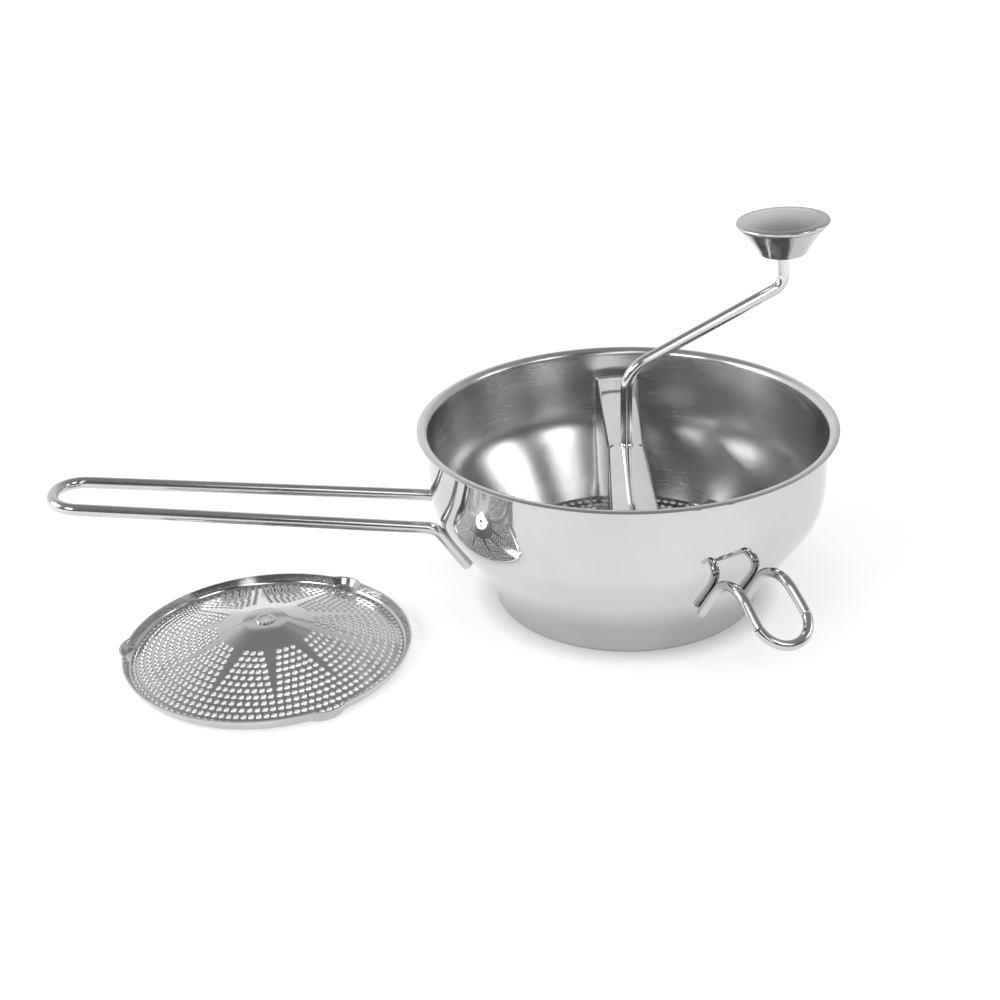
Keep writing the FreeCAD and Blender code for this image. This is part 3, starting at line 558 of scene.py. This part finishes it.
def polar(radius, angle, height):
    return Vector((radius * math.cos(angle), radius * math.sin(angle), height))


def ray_half_width(radius):
    share = (RAY_TIP - radius) / (RAY_TIP - FIRST_ROW)
    return min(max(share, 0), 1.05) * RAY_WIDTH / 2


def punched_cell(shape, row_radius, start, end):
    """One cell of a row, from angle start to end: upper face, burr, bore, lower face."""
    low, high = row_radius - ROW_PITCH / 2, row_radius + ROW_PITCH / 2
    middle = (start + end) / 2
    square = [(low, start), (low, end), (high, end), (high, start)]
    corners = []
    for (radius, angle), (far_radius, far_angle) in zip(square, square[1:] + square[:1]):
        corners += [(radius + (far_radius - radius) * k / 4, angle + (far_angle - angle) * k / 4)
                    for k in range(4)]
    sides = len(corners)
    across = Vector((-math.sin(middle), math.cos(middle), 0))
    down = polar(1, middle, -DISC_SLOPE).normalized()
    square_up = down.cross(across).normalized()
    if square_up.z < 0:
        square_up.negate()
    centre = polar(row_radius, middle, cone_top(row_radius))
    bearings = []
    for radius, angle in corners:
        spot = polar(radius, angle, cone_top(radius)) - centre
        bearings.append(math.atan2(spot.dot(across), spot.dot(down)))
    rings = [[shape.verts.new(polar(radius, angle, cone_top(radius)))
              for radius, angle in corners]]
    for reach, lift in BURR_FORM:
        ring = []
        for bearing in bearings:
            offset = (down * math.cos(bearing) + across * math.sin(bearing)) * HOLE_RADIUS * reach
            ring.append(shape.verts.new(centre + offset + square_up * BURR * lift))
        rings.append(ring)
    rings.append([shape.verts.new(polar(radius, angle, cone_under(radius)))
                  for radius, angle in corners])
    for level, (outer, inner) in enumerate(zip(rings, rings[1:])):
        for side in range(sides):
            after = (side + 1) % sides
            face = shape.faces.new((outer[side], outer[after], inner[after], inner[side]))
            # The burr's faces take the second material, a lighter steel that paints a glint on each
            # hole.
            face.material_index = 1 if 1 <= level <= 3 else 0


def plain_cell(shape, low, high, start, end, steps):
    """An unpunched patch of the cone, upper and lower face."""
    for face_height in (cone_top, cone_under):
        rows = []
        for radius in (low, high):
            rows.append([shape.verts.new(polar(radius, start + (end - start) * k / steps,
                                               face_height(radius)))
                         for k in range(steps + 1)])
        for k in range(steps):
            shape.faces.new((rows[0][k], rows[0][k + 1], rows[1][k + 1], rows[1][k]))


def cone_mesh(shape):
    sector = 2 * math.pi / RAYS
    for row in range(HOLE_ROWS):
        radius = FIRST_ROW + ROW_PITCH * row
        ray = 2 * ray_half_width(radius) / radius
        span = sector - ray
        count = 1 + int(span * radius / HOLE_PITCH)
        for index in range(RAYS):
            start = RAY_TURN + index * sector + ray / 2
            for hole in range(count):
                punched_cell(shape, radius, start + span * hole / count,
                             start + span * (hole + 1) / count)
            if ray > 1e-6:
                low, high = radius - ROW_PITCH / 2, radius + ROW_PITCH / 2
                plain_cell(shape, low, high, start - ray, start, 3)


def flange_reach(angle, height, inset, rim):
    """Radius of the flange at an angle and a height, with its bulged lobes."""
    rim_radius, rim_height, rim_lean = rim
    below_rim = rim_height - max(height, FLANGE_BEVEL)
    plain = rim_radius - inset - rim_lean * below_rim
    plain -= max(FLANGE_BEVEL - height, 0) * FLANGE_BEVEL_SLOPE
    centre = LOBE_REACH - LOBE_RADIUS
    radius = LOBE_RADIUS - LOBE_DRAFT * below_rim - inset
    pitch = 2 * math.pi / LOBES
    off = angle % pitch - pitch / 2
    if abs(centre * math.sin(off)) >= radius * 0.98:
        return plain
    lobe = centre * math.cos(off) + math.sqrt(radius**2 - (centre * math.sin(off)) ** 2)
    return (plain + lobe + math.sqrt((plain - lobe) ** 2 + LOBE_BLEND**2)) / 2


def disc_mesh(rim):
    """The whole disc about its own axis, standing on its foot."""
    rim_height = rim[1]
    shape = bmesh.new()
    cone_mesh(shape)
    turns = 720
    angles = [2 * math.pi * k / turns for k in range(turns)]
    hub_edge = FIRST_ROW - ROW_PITCH / 2
    row_edge = FIRST_ROW + ROW_PITCH * (HOLE_ROWS - 0.5)
    hub_middle = 20 * mm
    boss_foot = BOSS_RADIUS + 1.2 * mm
    boss_profile = [
        (hub_edge, cone_top(hub_edge)), (hub_middle, cone_top(hub_middle)),
        (boss_foot, cone_top(boss_foot)), (BOSS_RADIUS + 0.2 * mm, BOSS_HEIGHT - 0.12 * mm),
        (BOSS_RADIUS - 0.7 * mm, BOSS_HEIGHT), (DISC_BORE, BOSS_HEIGHT),
        (DISC_BORE, BOSS_HEIGHT - DISC_SHEET),
        (BOSS_RADIUS - 0.3 * mm, BOSS_HEIGHT - DISC_SHEET),
        (boss_foot, cone_top(boss_foot) - DISC_SHEET),
        (hub_edge, cone_top(hub_edge) - DISC_SHEET),
    ]

    def flat_ring(radius, height, some_angles):
        return [shape.verts.new(polar(radius, angle, height)) for angle in some_angles]

    def flange_ring(height, inset, pulled_in=0):
        return [shape.verts.new(polar(flange_reach(angle, height, inset, rim) - pulled_in,
                                      angle, height)) for angle in angles]

    join_rings(shape, [flat_ring(radius, height, angles[::4])
                       for radius, height in boss_profile])
    wall_height = rim_height - FLANGE_BEVEL - 0.1 * mm
    wall = [FLANGE_BEVEL + wall_height * k / 6 for k in range(7)]
    rings = [flat_ring(row_edge, cone_top(row_edge), angles),
             flange_ring(DISC_SHEET, DISC_SHEET, 0.6 * mm)]
    rings += [flange_ring(height, DISC_SHEET) for height in [1.3 * mm, 2.0 * mm] + wall]
    rings.append(flange_ring(rim_height, DISC_SHEET / 2))
    rings += [flange_ring(height, 0)
              for height in wall[::-1] + [1.6 * mm, 0.8 * mm, 0.25 * mm, 0.0]]
    rings.append(flat_ring(row_edge, cone_under(row_edge), angles))
    join_rings(shape, rings)
    bmesh.ops.remove_doubles(shape, verts=shape.verts, dist=1e-6)
    return shape


def join_rings(shape, rings):
    for here, ahead in zip(rings, rings[1:]):
        for k in range(len(here)):
            after = (k + 1) % len(here)
            shape.faces.new((here[k], here[after], ahead[after], ahead[k]))


disc_steel = steel("disc_steel", (0.54, 0.54, 0.54), (0.64, 0.64, 0.64), 0.10, 0.17,
                   rings=1600.0, depth=0.000003)
# The burrs' steel is toned lighter than the disc's, a painted glint round each hole.
burr_glint_steel = steel("burr_glint_steel", (0.62, 0.62, 0.62), (0.76, 0.76, 0.76), 0.10, 0.20,
                   rings=3000.0)
installed = finished("disc_sheet", disc_mesh(INSTALLED_RIM), 50)
spare = finished("spare_disc_sheet", disc_mesh(SPARE_RIM), 50)
clothe(installed, disc_steel, burr_glint_steel)
clothe(spare, disc_steel, burr_glint_steel)
disc_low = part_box("disc_plate")[0]
installed.location = (0, 0, disc_low.z)
installed.rotation_euler = (0, 0, INSTALLED_TURN)
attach(installed, "disc")
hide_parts("disc_plate")
spare.location = SPARE_PLACE
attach(spare, "spare_disc")
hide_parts("spare_disc_plate")

# ------------------------------------------------------------------ disc bushes
# A flanged eyelet pressed in each boss, in which the crank's rod runs; its
# flange is rolled and bright.
BUSH_BORE = 3.43 * mm
BUSH_RADIUS = 4.42 * mm
BUSH_FLANGE = 5.8 * mm
BUSH_RISE = 0.8 * mm
BUSH_DEPTH = 2.6 * mm
bright_steel = steel("bright_turned_steel", (0.62, 0.62, 0.62), (0.72, 0.72, 0.72), 0.10, 0.20,
                     rings=6000.0, depth=0.000005)


def bush_runs():
    soft = 0.35 * mm
    flange = arc((BUSH_FLANGE - soft, soft), soft, -90, 0, 4)
    flange += arc((BUSH_FLANGE - soft, BUSH_RISE - soft), soft, 0, 90, 4)
    flange += arc((BUSH_BORE + 0.3 * mm, BUSH_RISE - 0.3 * mm), 0.3 * mm, 90, 180, 4)
    barrel = [(BUSH_BORE, -BUSH_DEPTH), (BUSH_RADIUS, -BUSH_DEPTH), (BUSH_RADIUS, 0)]
    return [(barrel, 0), (flange, 0), ([(BUSH_BORE, -BUSH_DEPTH)], 0)]


for node, body, place in (
    ("disc_bush", "disc", Vector((0, 0, disc_low.z + BOSS_HEIGHT))),
    ("spare_disc_bush", "spare_disc", SPARE_PLACE + Vector((0, 0, BOSS_HEIGHT))),
):
    bush = spun(f"{node}_eyelet", bush_runs(), 64)
    bush.location = place
    clothe(bush, bright_steel)
    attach(bush, body)
    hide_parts(node)

# ------------------------------------------------------------------ spring catch
# Under the boss: washer, coil spring and cup on the rod, held by a washer and a
# cross pin. Plain turned and stamped parts, the spring drawn bright.
spring_steel = steel("spring_steel", (0.34, 0.34, 0.35), (0.46, 0.46, 0.47), 0.16, 0.28,
                     rings=2000.0)
for node in ("disc_washer", "spring_cup", "cup_washer", "cross_pin", "blade_collar"):
    clothe(nodes[node], small_steel)
clothe(nodes["press_spring"], spring_steel)

# ------------------------------------------------------------------ crank rod
# Round bar bent cold: shaft on the bowl's axis, sloping arm and the short post
# that leans in under the knob. Polished like the handle.
CRANK_WIRE = 6.7 * mm
CRANK_FOOT = 9.6 * mm
CRANK_CORNER = 137.3 * mm
CRANK_THROW = 90 * mm
CRANK_TOP = 181 * mm
CRANK_TURN = math.radians(8)
CRANK_BEND = 18.5 * mm
CRANK_UPPER_BEND = 9.5 * mm
POST_LENGTH = 36 * mm
knob_joint = next(joint for joint in frame["joints"] if joint["name"] == "knob_spin")
post_axis = Vector(knob_joint["axis"]).normalized()
knob_seat = Vector(knob_joint["pos_m"])

arm = Matrix.Rotation(CRANK_TURN, 3, "Z") @ Vector((CRANK_THROW, 0, 0))
upper_corner = arm + Vector((0, 0, CRANK_TOP))
crank_route = wire_route(
    [Vector((0, 0, CRANK_FOOT)), Vector((0, 0, CRANK_CORNER)), upper_corner,
     upper_corner + post_axis * POST_LENGTH],
    [CRANK_BEND, CRANK_UPPER_BEND])
rod = wire_piece("crank_bar", crank_route, CRANK_WIRE)
clothe(rod, wire_steel)
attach(rod, "crank")
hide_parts("crank_rod")

# ------------------------------------------------------------------ blade
# One sheet, the same when turned half round: a slightly crowned strip across
# the bowl, a rolled lip on each leading edge and a wing bent down to the disc
# on each trailing edge. Mirror polished; the rod is welded in its middle.
BLADE_SHEET = 1.2 * mm
BLADE_TOP = 92 * mm
BLADE_WIDTH = 21 * mm
BLADE_REACH = 106 * mm
BLADE_BEND = 2.5 * mm
BLADE_LIP = 5.4 * mm
BLADE_LIP_GROWTH = 3.9 * mm
BLADE_CROWN = 0.6 * mm
BLADE_END_CURL = 0.9 * mm
BLADE_CURL_LENGTH = 2.4 * mm
WING_INSET = 4 * mm
WING_LIFT = 1.2 * mm
WING_GAP = 0.8 * mm


def wing_outline():
    """Lower edge of a wing as (distance from the axis, height), from the end inwards."""
    flange_top = disc_low.z + FLANGE_HEIGHT
    lug_top = flange_top + LUG_RISE + WING_LIFT
    inner = cone_outside(lug_top) - SHEET / math.cos(CONE_LEAN) - WING_INSET
    knee = LEDGE_HIGH.y + (BLADE_REACH + WING_INSET - LEDGE_HIGH.x) / math.tan(CONE_LEAN)
    low_reach = DISC_RADIUS - DISC_SHEET - WING_INSET
    return [
        (BLADE_REACH, knee), (inner, lug_top), (low_reach, flange_top + WING_LIFT),
        (low_reach, disc_low.z + cone_top(low_reach) + WING_GAP),
        (BOSS_RADIUS + WING_GAP, disc_low.z + cone_top(BOSS_RADIUS) + WING_LIFT),
        (0, disc_low.z + BOSS_HEIGHT + 0.9 * mm),
    ]


def wing_floor(along):
    """Height of a wing's lower edge at a distance from the axis."""
    outline = wing_outline()
    for (far, high), (near, low) in zip(outline, outline[1:]):
        if near <= along <= far and far - near > 1e-9:
            return low + (high - low) * (along - near) / (far - near)
    return outline[0][1]


def half_blade(shape, side):
    """The half towards +Y (side 1) or -Y (side -1); its wing hangs on the trailing edge."""
    half = BLADE_WIDTH / 2
    stations = [0.0]
    spacing = [2, 4, 6, 8, 10, 11.5, 13.5, 20, 30, 40, 50, 60, 68, 72, 74.4, 74.9, 78, 82, 86,
               90, 94, 98, 101, 103.5, 104.5, 104.9, 105.2, 105.5, 105.7, 105.85, 105.95, 106]
    stations += [value * mm for value in spacing]
    columns = []
    for along in stations:
        floor = wing_floor(min(along, BLADE_REACH - 1e-9))
        share = along / BLADE_REACH
        roll = BLADE_BEND + (BLADE_LIP - BLADE_BEND) * share
        flat_left = -half + BLADE_BEND
        flat_right = half - BLADE_BEND + BLADE_LIP_GROWTH * share
        middle, inner = (flat_left + flat_right) / 2, (flat_right - flat_left) / 2
        curl = max(1 - (BLADE_REACH - along) / BLADE_CURL_LENGTH, 0) ** 2
        top = BLADE_TOP + BLADE_END_CURL * curl
        edge = top - BLADE_CROWN
        column = [(-half, floor + (edge - BLADE_BEND - floor) * k / 8) for k in range(8)]
        column += arc((flat_left, edge - BLADE_BEND), BLADE_BEND, 180, 92, 6)
        for k in range(1, 16):
            across = inner * (2 * k / 16 - 1)
            column.append((middle + across, top - BLADE_CROWN * (across / inner) ** 2))
        column += arc((flat_right, edge - roll), roll, 84, 4, 10)
        columns.append([shape.verts.new((side * x, side * along, z)) for x, z in column])
    for here, ahead in zip(columns, columns[1:]):
        for k in range(len(here) - 1):
            shape.faces.new((here[k], here[k + 1], ahead[k + 1], ahead[k]))


blade_shape = bmesh.new()
half_blade(blade_shape, 1)
half_blade(blade_shape, -1)
bmesh.ops.remove_doubles(blade_shape, verts=blade_shape.verts, dist=1e-6)
bmesh.ops.recalc_face_normals(blade_shape, faces=blade_shape.faces)
top_face = max(blade_shape.faces, key=lambda face: abs(face.normal.z) + face.calc_center_median().z)
if top_face.normal.z < 0:
    bmesh.ops.reverse_faces(blade_shape, faces=blade_shape.faces)
blade = finished("blade_sheet", blade_shape, 35)
thicken = blade.modifiers.new("thickness", "SOLIDIFY")
thicken.thickness = BLADE_SHEET
thicken.offset = -1
blade_steel = steel("blade_steel", (0.60, 0.60, 0.60), (0.68, 0.68, 0.68), 0.05, 0.12,
                    rings=700.0, depth=0.000004)
clothe(blade, blade_steel)
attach(blade, "crank")
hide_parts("blade")

bead_foot = BLADE_TOP - 0.2 * mm
bead_side = CRANK_WIRE / 2
bead = spun("blade_weld", [
    ([(bead_side, bead_foot), (bead_side + 0.9 * mm, bead_foot)], 0),
    (arc((bead_side + 0.3 * mm, bead_foot + 0.6 * mm), 0.6 * mm, 0, 100, 6), 0),
    ([(bead_side, bead_foot + 1.5 * mm)], 0)], 64)
clothe(bead, blade_steel)
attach(bead, "crank")

# ------------------------------------------------------------------ knob
# A polished concave cone and a satin domed cap of sheet, rolled together round
# a plastic bush; they turn on the post over a washer and under a push-on ring.
KNOB_FOOT = 13.4 * mm
KNOB_NECK = 24.7 * mm
KNOB_RADIUS = 25.85 * mm
KNOB_RISE = 16.2 * mm
KNOB_RIM = 17.9 * mm
KNOB_CORNER = 1.5 * mm
KNOB_FLARE = 80 * mm
KNOB_DOME = 4.6 * mm
KNOB_SHEET = 1.2 * mm
KNOB_HOLE = 6.28 * mm
lean = Vector((0, 0, 1)).rotation_difference(post_axis).to_matrix().to_4x4()
knob_place = Matrix.Translation(knob_seat) @ lean


def bowed(start, end, radius, steps):
    """An arc from start to end that bows towards the axis."""
    start, end = Vector(start), Vector(end)
    chord = end - start
    right = Vector((chord.y, -chord.x)).normalized()
    centre = (start + end) / 2 + right * math.sqrt(radius**2 - (chord.length / 2) ** 2)
    first = math.degrees(math.atan2(start.y - centre.y, start.x - centre.x))
    last = math.degrees(math.atan2(end.y - centre.y, end.x - centre.x))
    if first - last > 180:
        last += 360
    if last - first > 180:
        last -= 360
    return arc(centre, radius, first, last, steps)


def skirt_runs():
    side = bowed((KNOB_FOOT, KNOB_CORNER), (KNOB_NECK, KNOB_RISE), KNOB_FLARE, 18)
    outside = [(KNOB_HOLE, 0)]
    outside += eased(Vector((KNOB_HOLE, 0)), Vector((KNOB_FOOT - 0.35 * mm, 0)), side[2],
                     KNOB_CORNER, 8)
    outside += side[2:]
    inside = [(KNOB_NECK - KNOB_SHEET, KNOB_RISE)]
    inside += bowed((KNOB_FOOT - KNOB_SHEET, KNOB_SHEET), (KNOB_NECK - KNOB_SHEET, KNOB_RISE),
                    KNOB_FLARE, 16)[::-1]
    inside += [(KNOB_HOLE, KNOB_SHEET), (KNOB_HOLE, 0)]
    return [(outside, 0), (inside, 0)]


def cap_runs():
    floor = KNOB_RISE + 0.08 * mm
    edge = KNOB_RIM - floor
    dome_radius = (KNOB_RADIUS**2 + KNOB_DOME**2) / (2 * KNOB_DOME)
    dome_centre = (0, KNOB_RIM + KNOB_DOME - dome_radius)
    start = math.degrees(math.acos(KNOB_RADIUS / dome_radius))
    under = [(KNOB_HOLE, floor)] + arc((KNOB_RADIUS - edge, KNOB_RIM), edge, -90, -4, 10)
    rim = arc((KNOB_RADIUS - 1.2 * mm, KNOB_RIM + 0.1 * mm), 1.2 * mm, -4, 58, 6)
    dome = arc(dome_centre, dome_radius, start + 3.2, 90, 26)
    return [(under, 0), (rim, 1), (dome, 1)]


KNOB_CENTRE = knob_seat + post_axis * KNOB_RIM
cap_satin = steel("cap_satin", (0.50, 0.50, 0.50), (0.58, 0.58, 0.58), 0.26, 0.34,
                  rings=5200.0, depth=0.00001, stretch=0.2, centre=KNOB_CENTRE)
knob_polish = steel("knob_polish", (0.50, 0.50, 0.50), (0.56, 0.56, 0.56), 0.15, 0.22,
                    rings=1500.0, depth=0.000004, centre=KNOB_CENTRE)
knob_skirt = spun("knob_cone", skirt_runs(), 128)
knob_cap = spun("knob_dome", cap_runs(), 128, close=False)
for piece, node in ((knob_skirt, "knob_skirt"), (knob_cap, "knob_cap")):
    piece.data.transform(knob_place)
    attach(piece, "knob")
    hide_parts(node)
clothe(knob_skirt, knob_polish)
clothe(knob_cap, knob_polish, cap_satin)



def white_plastic(name):
    """Plain moulded plastic with a fine grain in its tone and gloss."""
    material = bpy.data.materials.new(name)
    material.use_nodes = True
    tree = material.node_tree
    shader = tree.nodes["Principled BSDF"]
    shader.inputs["Specular IOR Level"].default_value = 0.5
    grain = tree.nodes.new("ShaderNodeTexNoise")
    grain.inputs["Scale"].default_value = 900.0
    tree.links.new(ranged(tree, grain.outputs["Fac"], 0.42, 0.55), shader.inputs["Roughness"])
    tone = tree.nodes.new("ShaderNodeMix")
    tone.data_type = "RGBA"
    tone.inputs[6].default_value = (0.70, 0.70, 0.67, 1)
    tone.inputs[7].default_value = (0.78, 0.78, 0.76, 1)
    tree.links.new(grain.outputs["Fac"], tone.inputs[0])
    tree.links.new(tone.outputs[2], shader.inputs["Base Color"])
    return material


clothe(nodes["knob_bush"], white_plastic("bush_plastic"))
clothe(nodes["knob_washer"], small_steel)
clothe(nodes["knob_retainer"], spring_steel)

# ------------------------------------------------------------------ studio
# A plain white table that keeps the object's shadow, in a grey room. Soft boxes
# stand at both sides and to both sides in front, one hangs overhead, and a
# narrow strip in front draws the bright line along the crank's arm.
FLOOR_GLOW = 0.58
FLOOR_TONE = 0.52
GLOW_START = 0.3
GLOW_END = 0.9
# Reach and radius of the painted shadow round the bowl's foot.
PAINTED_SHADE_REACH = 0.016
PAINTED_SHADE_RADIUS = 0.13
TABLE_HALF = 9
TABLE_TOP = -0.0004


def floor_material():
    """A matte table, seen whiter than it is lit; close round the bowl's foot its glow is dimmed by
    ambient occlusion, a painted shadow.
    """
    material = bpy.data.materials.new("white_table")
    material.use_nodes = True
    tree = material.node_tree
    tree.nodes.clear()
    out = tree.nodes.new("ShaderNodeOutputMaterial")
    add = tree.nodes.new("ShaderNodeAddShader")
    matte = tree.nodes.new("ShaderNodeBsdfDiffuse")
    matte.inputs["Color"].default_value = (FLOOR_TONE, FLOOR_TONE, FLOOR_TONE, 1)
    glow = tree.nodes.new("ShaderNodeEmission")
    place = tree.nodes.new("ShaderNodeTexCoord")
    length = tree.nodes.new("ShaderNodeVectorMath")
    length.operation = "LENGTH"
    tree.links.new(place.outputs["Object"], length.inputs[0])
    spread = tree.nodes.new("ShaderNodeMapRange")
    spread.interpolation_type = "SMOOTHSTEP"
    tree.links.new(length.outputs["Value"], spread.inputs[0])
    for index, setting in enumerate((GLOW_START, GLOW_END, FLOOR_GLOW, 1.0)):
        spread.inputs[index + 1].default_value = setting
    path = tree.nodes.new("ShaderNodeLightPath")
    seen = math_node(tree, "MAXIMUM", path.outputs["Is Camera Ray"], path.outputs["Is Glossy Ray"])
    seen = math_node(tree, "MAXIMUM", seen, path.outputs["Is Transmission Ray"])
    # Painted shadow: ambient occlusion dims the table's glow within reach of the bowl's foot.
    nook = tree.nodes.new("ShaderNodeAmbientOcclusion")
    nook.inputs["Distance"].default_value = PAINTED_SHADE_REACH
    under_bowl = math_node(tree, "LESS_THAN", length.outputs["Value"], PAINTED_SHADE_RADIUS)
    painted_shade = math_node(tree, "MULTIPLY", under_bowl,
                     math_node(tree, "SUBTRACT", 1.0, nook.outputs["AO"]))
    open_share = math_node(tree, "MULTIPLY", spread.outputs[0],
                           math_node(tree, "SUBTRACT", 1.0, painted_shade))
    tree.links.new(math_node(tree, "MULTIPLY", seen, open_share), glow.inputs["Strength"])
    tree.links.new(matte.outputs[0], add.inputs[0])
    tree.links.new(glow.outputs[0], add.inputs[1])
    tree.links.new(add.outputs[0], out.inputs["Surface"])
    return material


def add_table():
    corners = [(across * TABLE_HALF, deep * TABLE_HALF, TABLE_TOP)
               for across, deep in ((-1, -1), (1, -1), (1, 1), (-1, 1))]
    mesh = bpy.data.meshes.new("table_top")
    mesh.from_pydata(corners, [], [(0, 1, 2, 3)])
    mesh.materials.append(floor_material())
    table = bpy.data.objects.new("table_top", mesh)
    bpy.context.scene.collection.objects.link(table)


add_table()


def soft_box(name, place, target, width, height, power):
    light = bpy.data.lights.new(name, "AREA")
    light.shape = "RECTANGLE"
    light.size = width
    light.size_y = height
    light.energy = power
    lamp = bpy.data.objects.new(name, light)
    bpy.context.scene.collection.objects.link(lamp)
    lamp.location = place
    lamp.rotation_euler = (Vector(target) - Vector(place)).to_track_quat("-Z", "Y").to_euler()
    return lamp


for name, place, size, power in (
    ("left_box", (-1.65, -0.06, 0.82), 0.74, 13),
    ("right_box", (1.64, -0.10, 0.84), 0.46, 3.2),
    ("front_left_box", (-1.02, -1.08, 1.03), 0.50, 5),
    ("front_right_box", (1.12, -0.90, 1.19), 0.50, 4.8),
):
    soft_box(name, place, (0, 0, 0.05), size, size, power)
overhead = soft_box("overhead_box", (0, -0.1, 1.8), (0, 0, 0), 0.9, 0.9, 9)
overhead.visible_glossy = False

STRIP_PLACE = Vector((0.003, -0.802, 0.654))
STRIP_TARGET = Vector((0.045, 0.006, 0.16))
STRIP_ALONG = Vector((-0.452, 0.359, 0.816))
strip = soft_box("strip_box", STRIP_PLACE, STRIP_TARGET, 0.2, 0.9, 1.3)
facing = (STRIP_PLACE - STRIP_TARGET).normalized()
sideways = STRIP_ALONG.cross(facing).normalized()
strip.rotation_euler = Matrix((sideways, facing.cross(sideways), facing)).transposed().to_euler()

ROOM_FRONT = 0.15
ROOM_BACK = 1.15
ROOM_CEILING = 0.36


def room_world():
    """A grey room with a dark front, a white back and a mid-grey ceiling."""
    world = bpy.data.worlds.new("room")
    bpy.context.scene.world = world
    world.use_nodes = True
    tree = world.node_tree
    tree.nodes.clear()
    out = tree.nodes.new("ShaderNodeOutputWorld")
    back = tree.nodes.new("ShaderNodeBackground")
    place = tree.nodes.new("ShaderNodeTexCoord")
    split = tree.nodes.new("ShaderNodeSeparateXYZ")
    tree.links.new(place.outputs["Generated"], split.inputs[0])
    across, deep, high = split.outputs

    def graded(value, start, end, low, top):
        node = tree.nodes.new("ShaderNodeMapRange")
        node.interpolation_type = "SMOOTHSTEP"
        tree.links.new(value, node.inputs[0])
        for index, setting in enumerate((start, end, low, top)):
            node.inputs[index + 1].default_value = setting
        return node.outputs[0]

    turned = math_node(tree, "SUBTRACT", deep, math_node(tree, "MULTIPLY", across, 0.15))
    walls = graded(turned, -0.6, 0.6, ROOM_FRONT, ROOM_BACK)
    shade = graded(across, 0.0, 0.6, 1.0, 0.65)
    walls = math_node(tree, "MULTIPLY", walls, shade)
    leaning = math_node(tree, "ADD", high, math_node(tree, "MULTIPLY", deep, 0.2))
    ceiling = graded(leaning, 0.6, 0.95, 0.0, 1.0)
    walls_left = math_node(tree, "MULTIPLY", walls, math_node(tree, "SUBTRACT", 1.0, ceiling))
    level = math_node(tree, "ADD", walls_left, math_node(tree, "MULTIPLY", ceiling, ROOM_CEILING))
    path = tree.nodes.new("ShaderNodeLightPath")
    seen = path.outputs["Is Camera Ray"]
    unseen = math_node(tree, "MULTIPLY", level, math_node(tree, "SUBTRACT", 1.0, seen))
    tree.links.new(math_node(tree, "ADD", unseen, seen), back.inputs["Strength"])
    tree.links.new(back.outputs[0], out.inputs["Surface"])


room_world()

# ------------------------------------------------------------------ camera
# A short telephoto from the front, looking down on the table.
CAMERA_PLACE = Vector((-73.82, -848.87, 472.37)) * mm
CAMERA_PITCH = 0.45276
CAMERA_ROLL = -0.03594
FOCAL_SHARE = 1.61396
SENSOR_WIDTH = 36


def add_camera():
    forward = Vector((0, math.cos(CAMERA_PITCH), -math.sin(CAMERA_PITCH)))
    level = Vector((1, 0, 0))
    upright = level.cross(forward)
    right = level * math.cos(CAMERA_ROLL) + upright * math.sin(CAMERA_ROLL)
    up = upright * math.cos(CAMERA_ROLL) - level * math.sin(CAMERA_ROLL)
    turn = Matrix((right, up, -forward)).transposed().to_4x4()
    lens = bpy.data.cameras.new("camera")
    lens.sensor_width = SENSOR_WIDTH
    lens.lens = SENSOR_WIDTH * FOCAL_SHARE
    lens.clip_start = 0.01
    camera = bpy.data.objects.new("camera", lens)
    bpy.context.scene.collection.objects.link(camera)
    camera.matrix_world = Matrix.Translation(CAMERA_PLACE) @ turn
    bpy.context.scene.camera = camera


add_camera()
bpy.context.scene.view_settings.view_transform = "Standard"

bpy.context.view_layer.update()
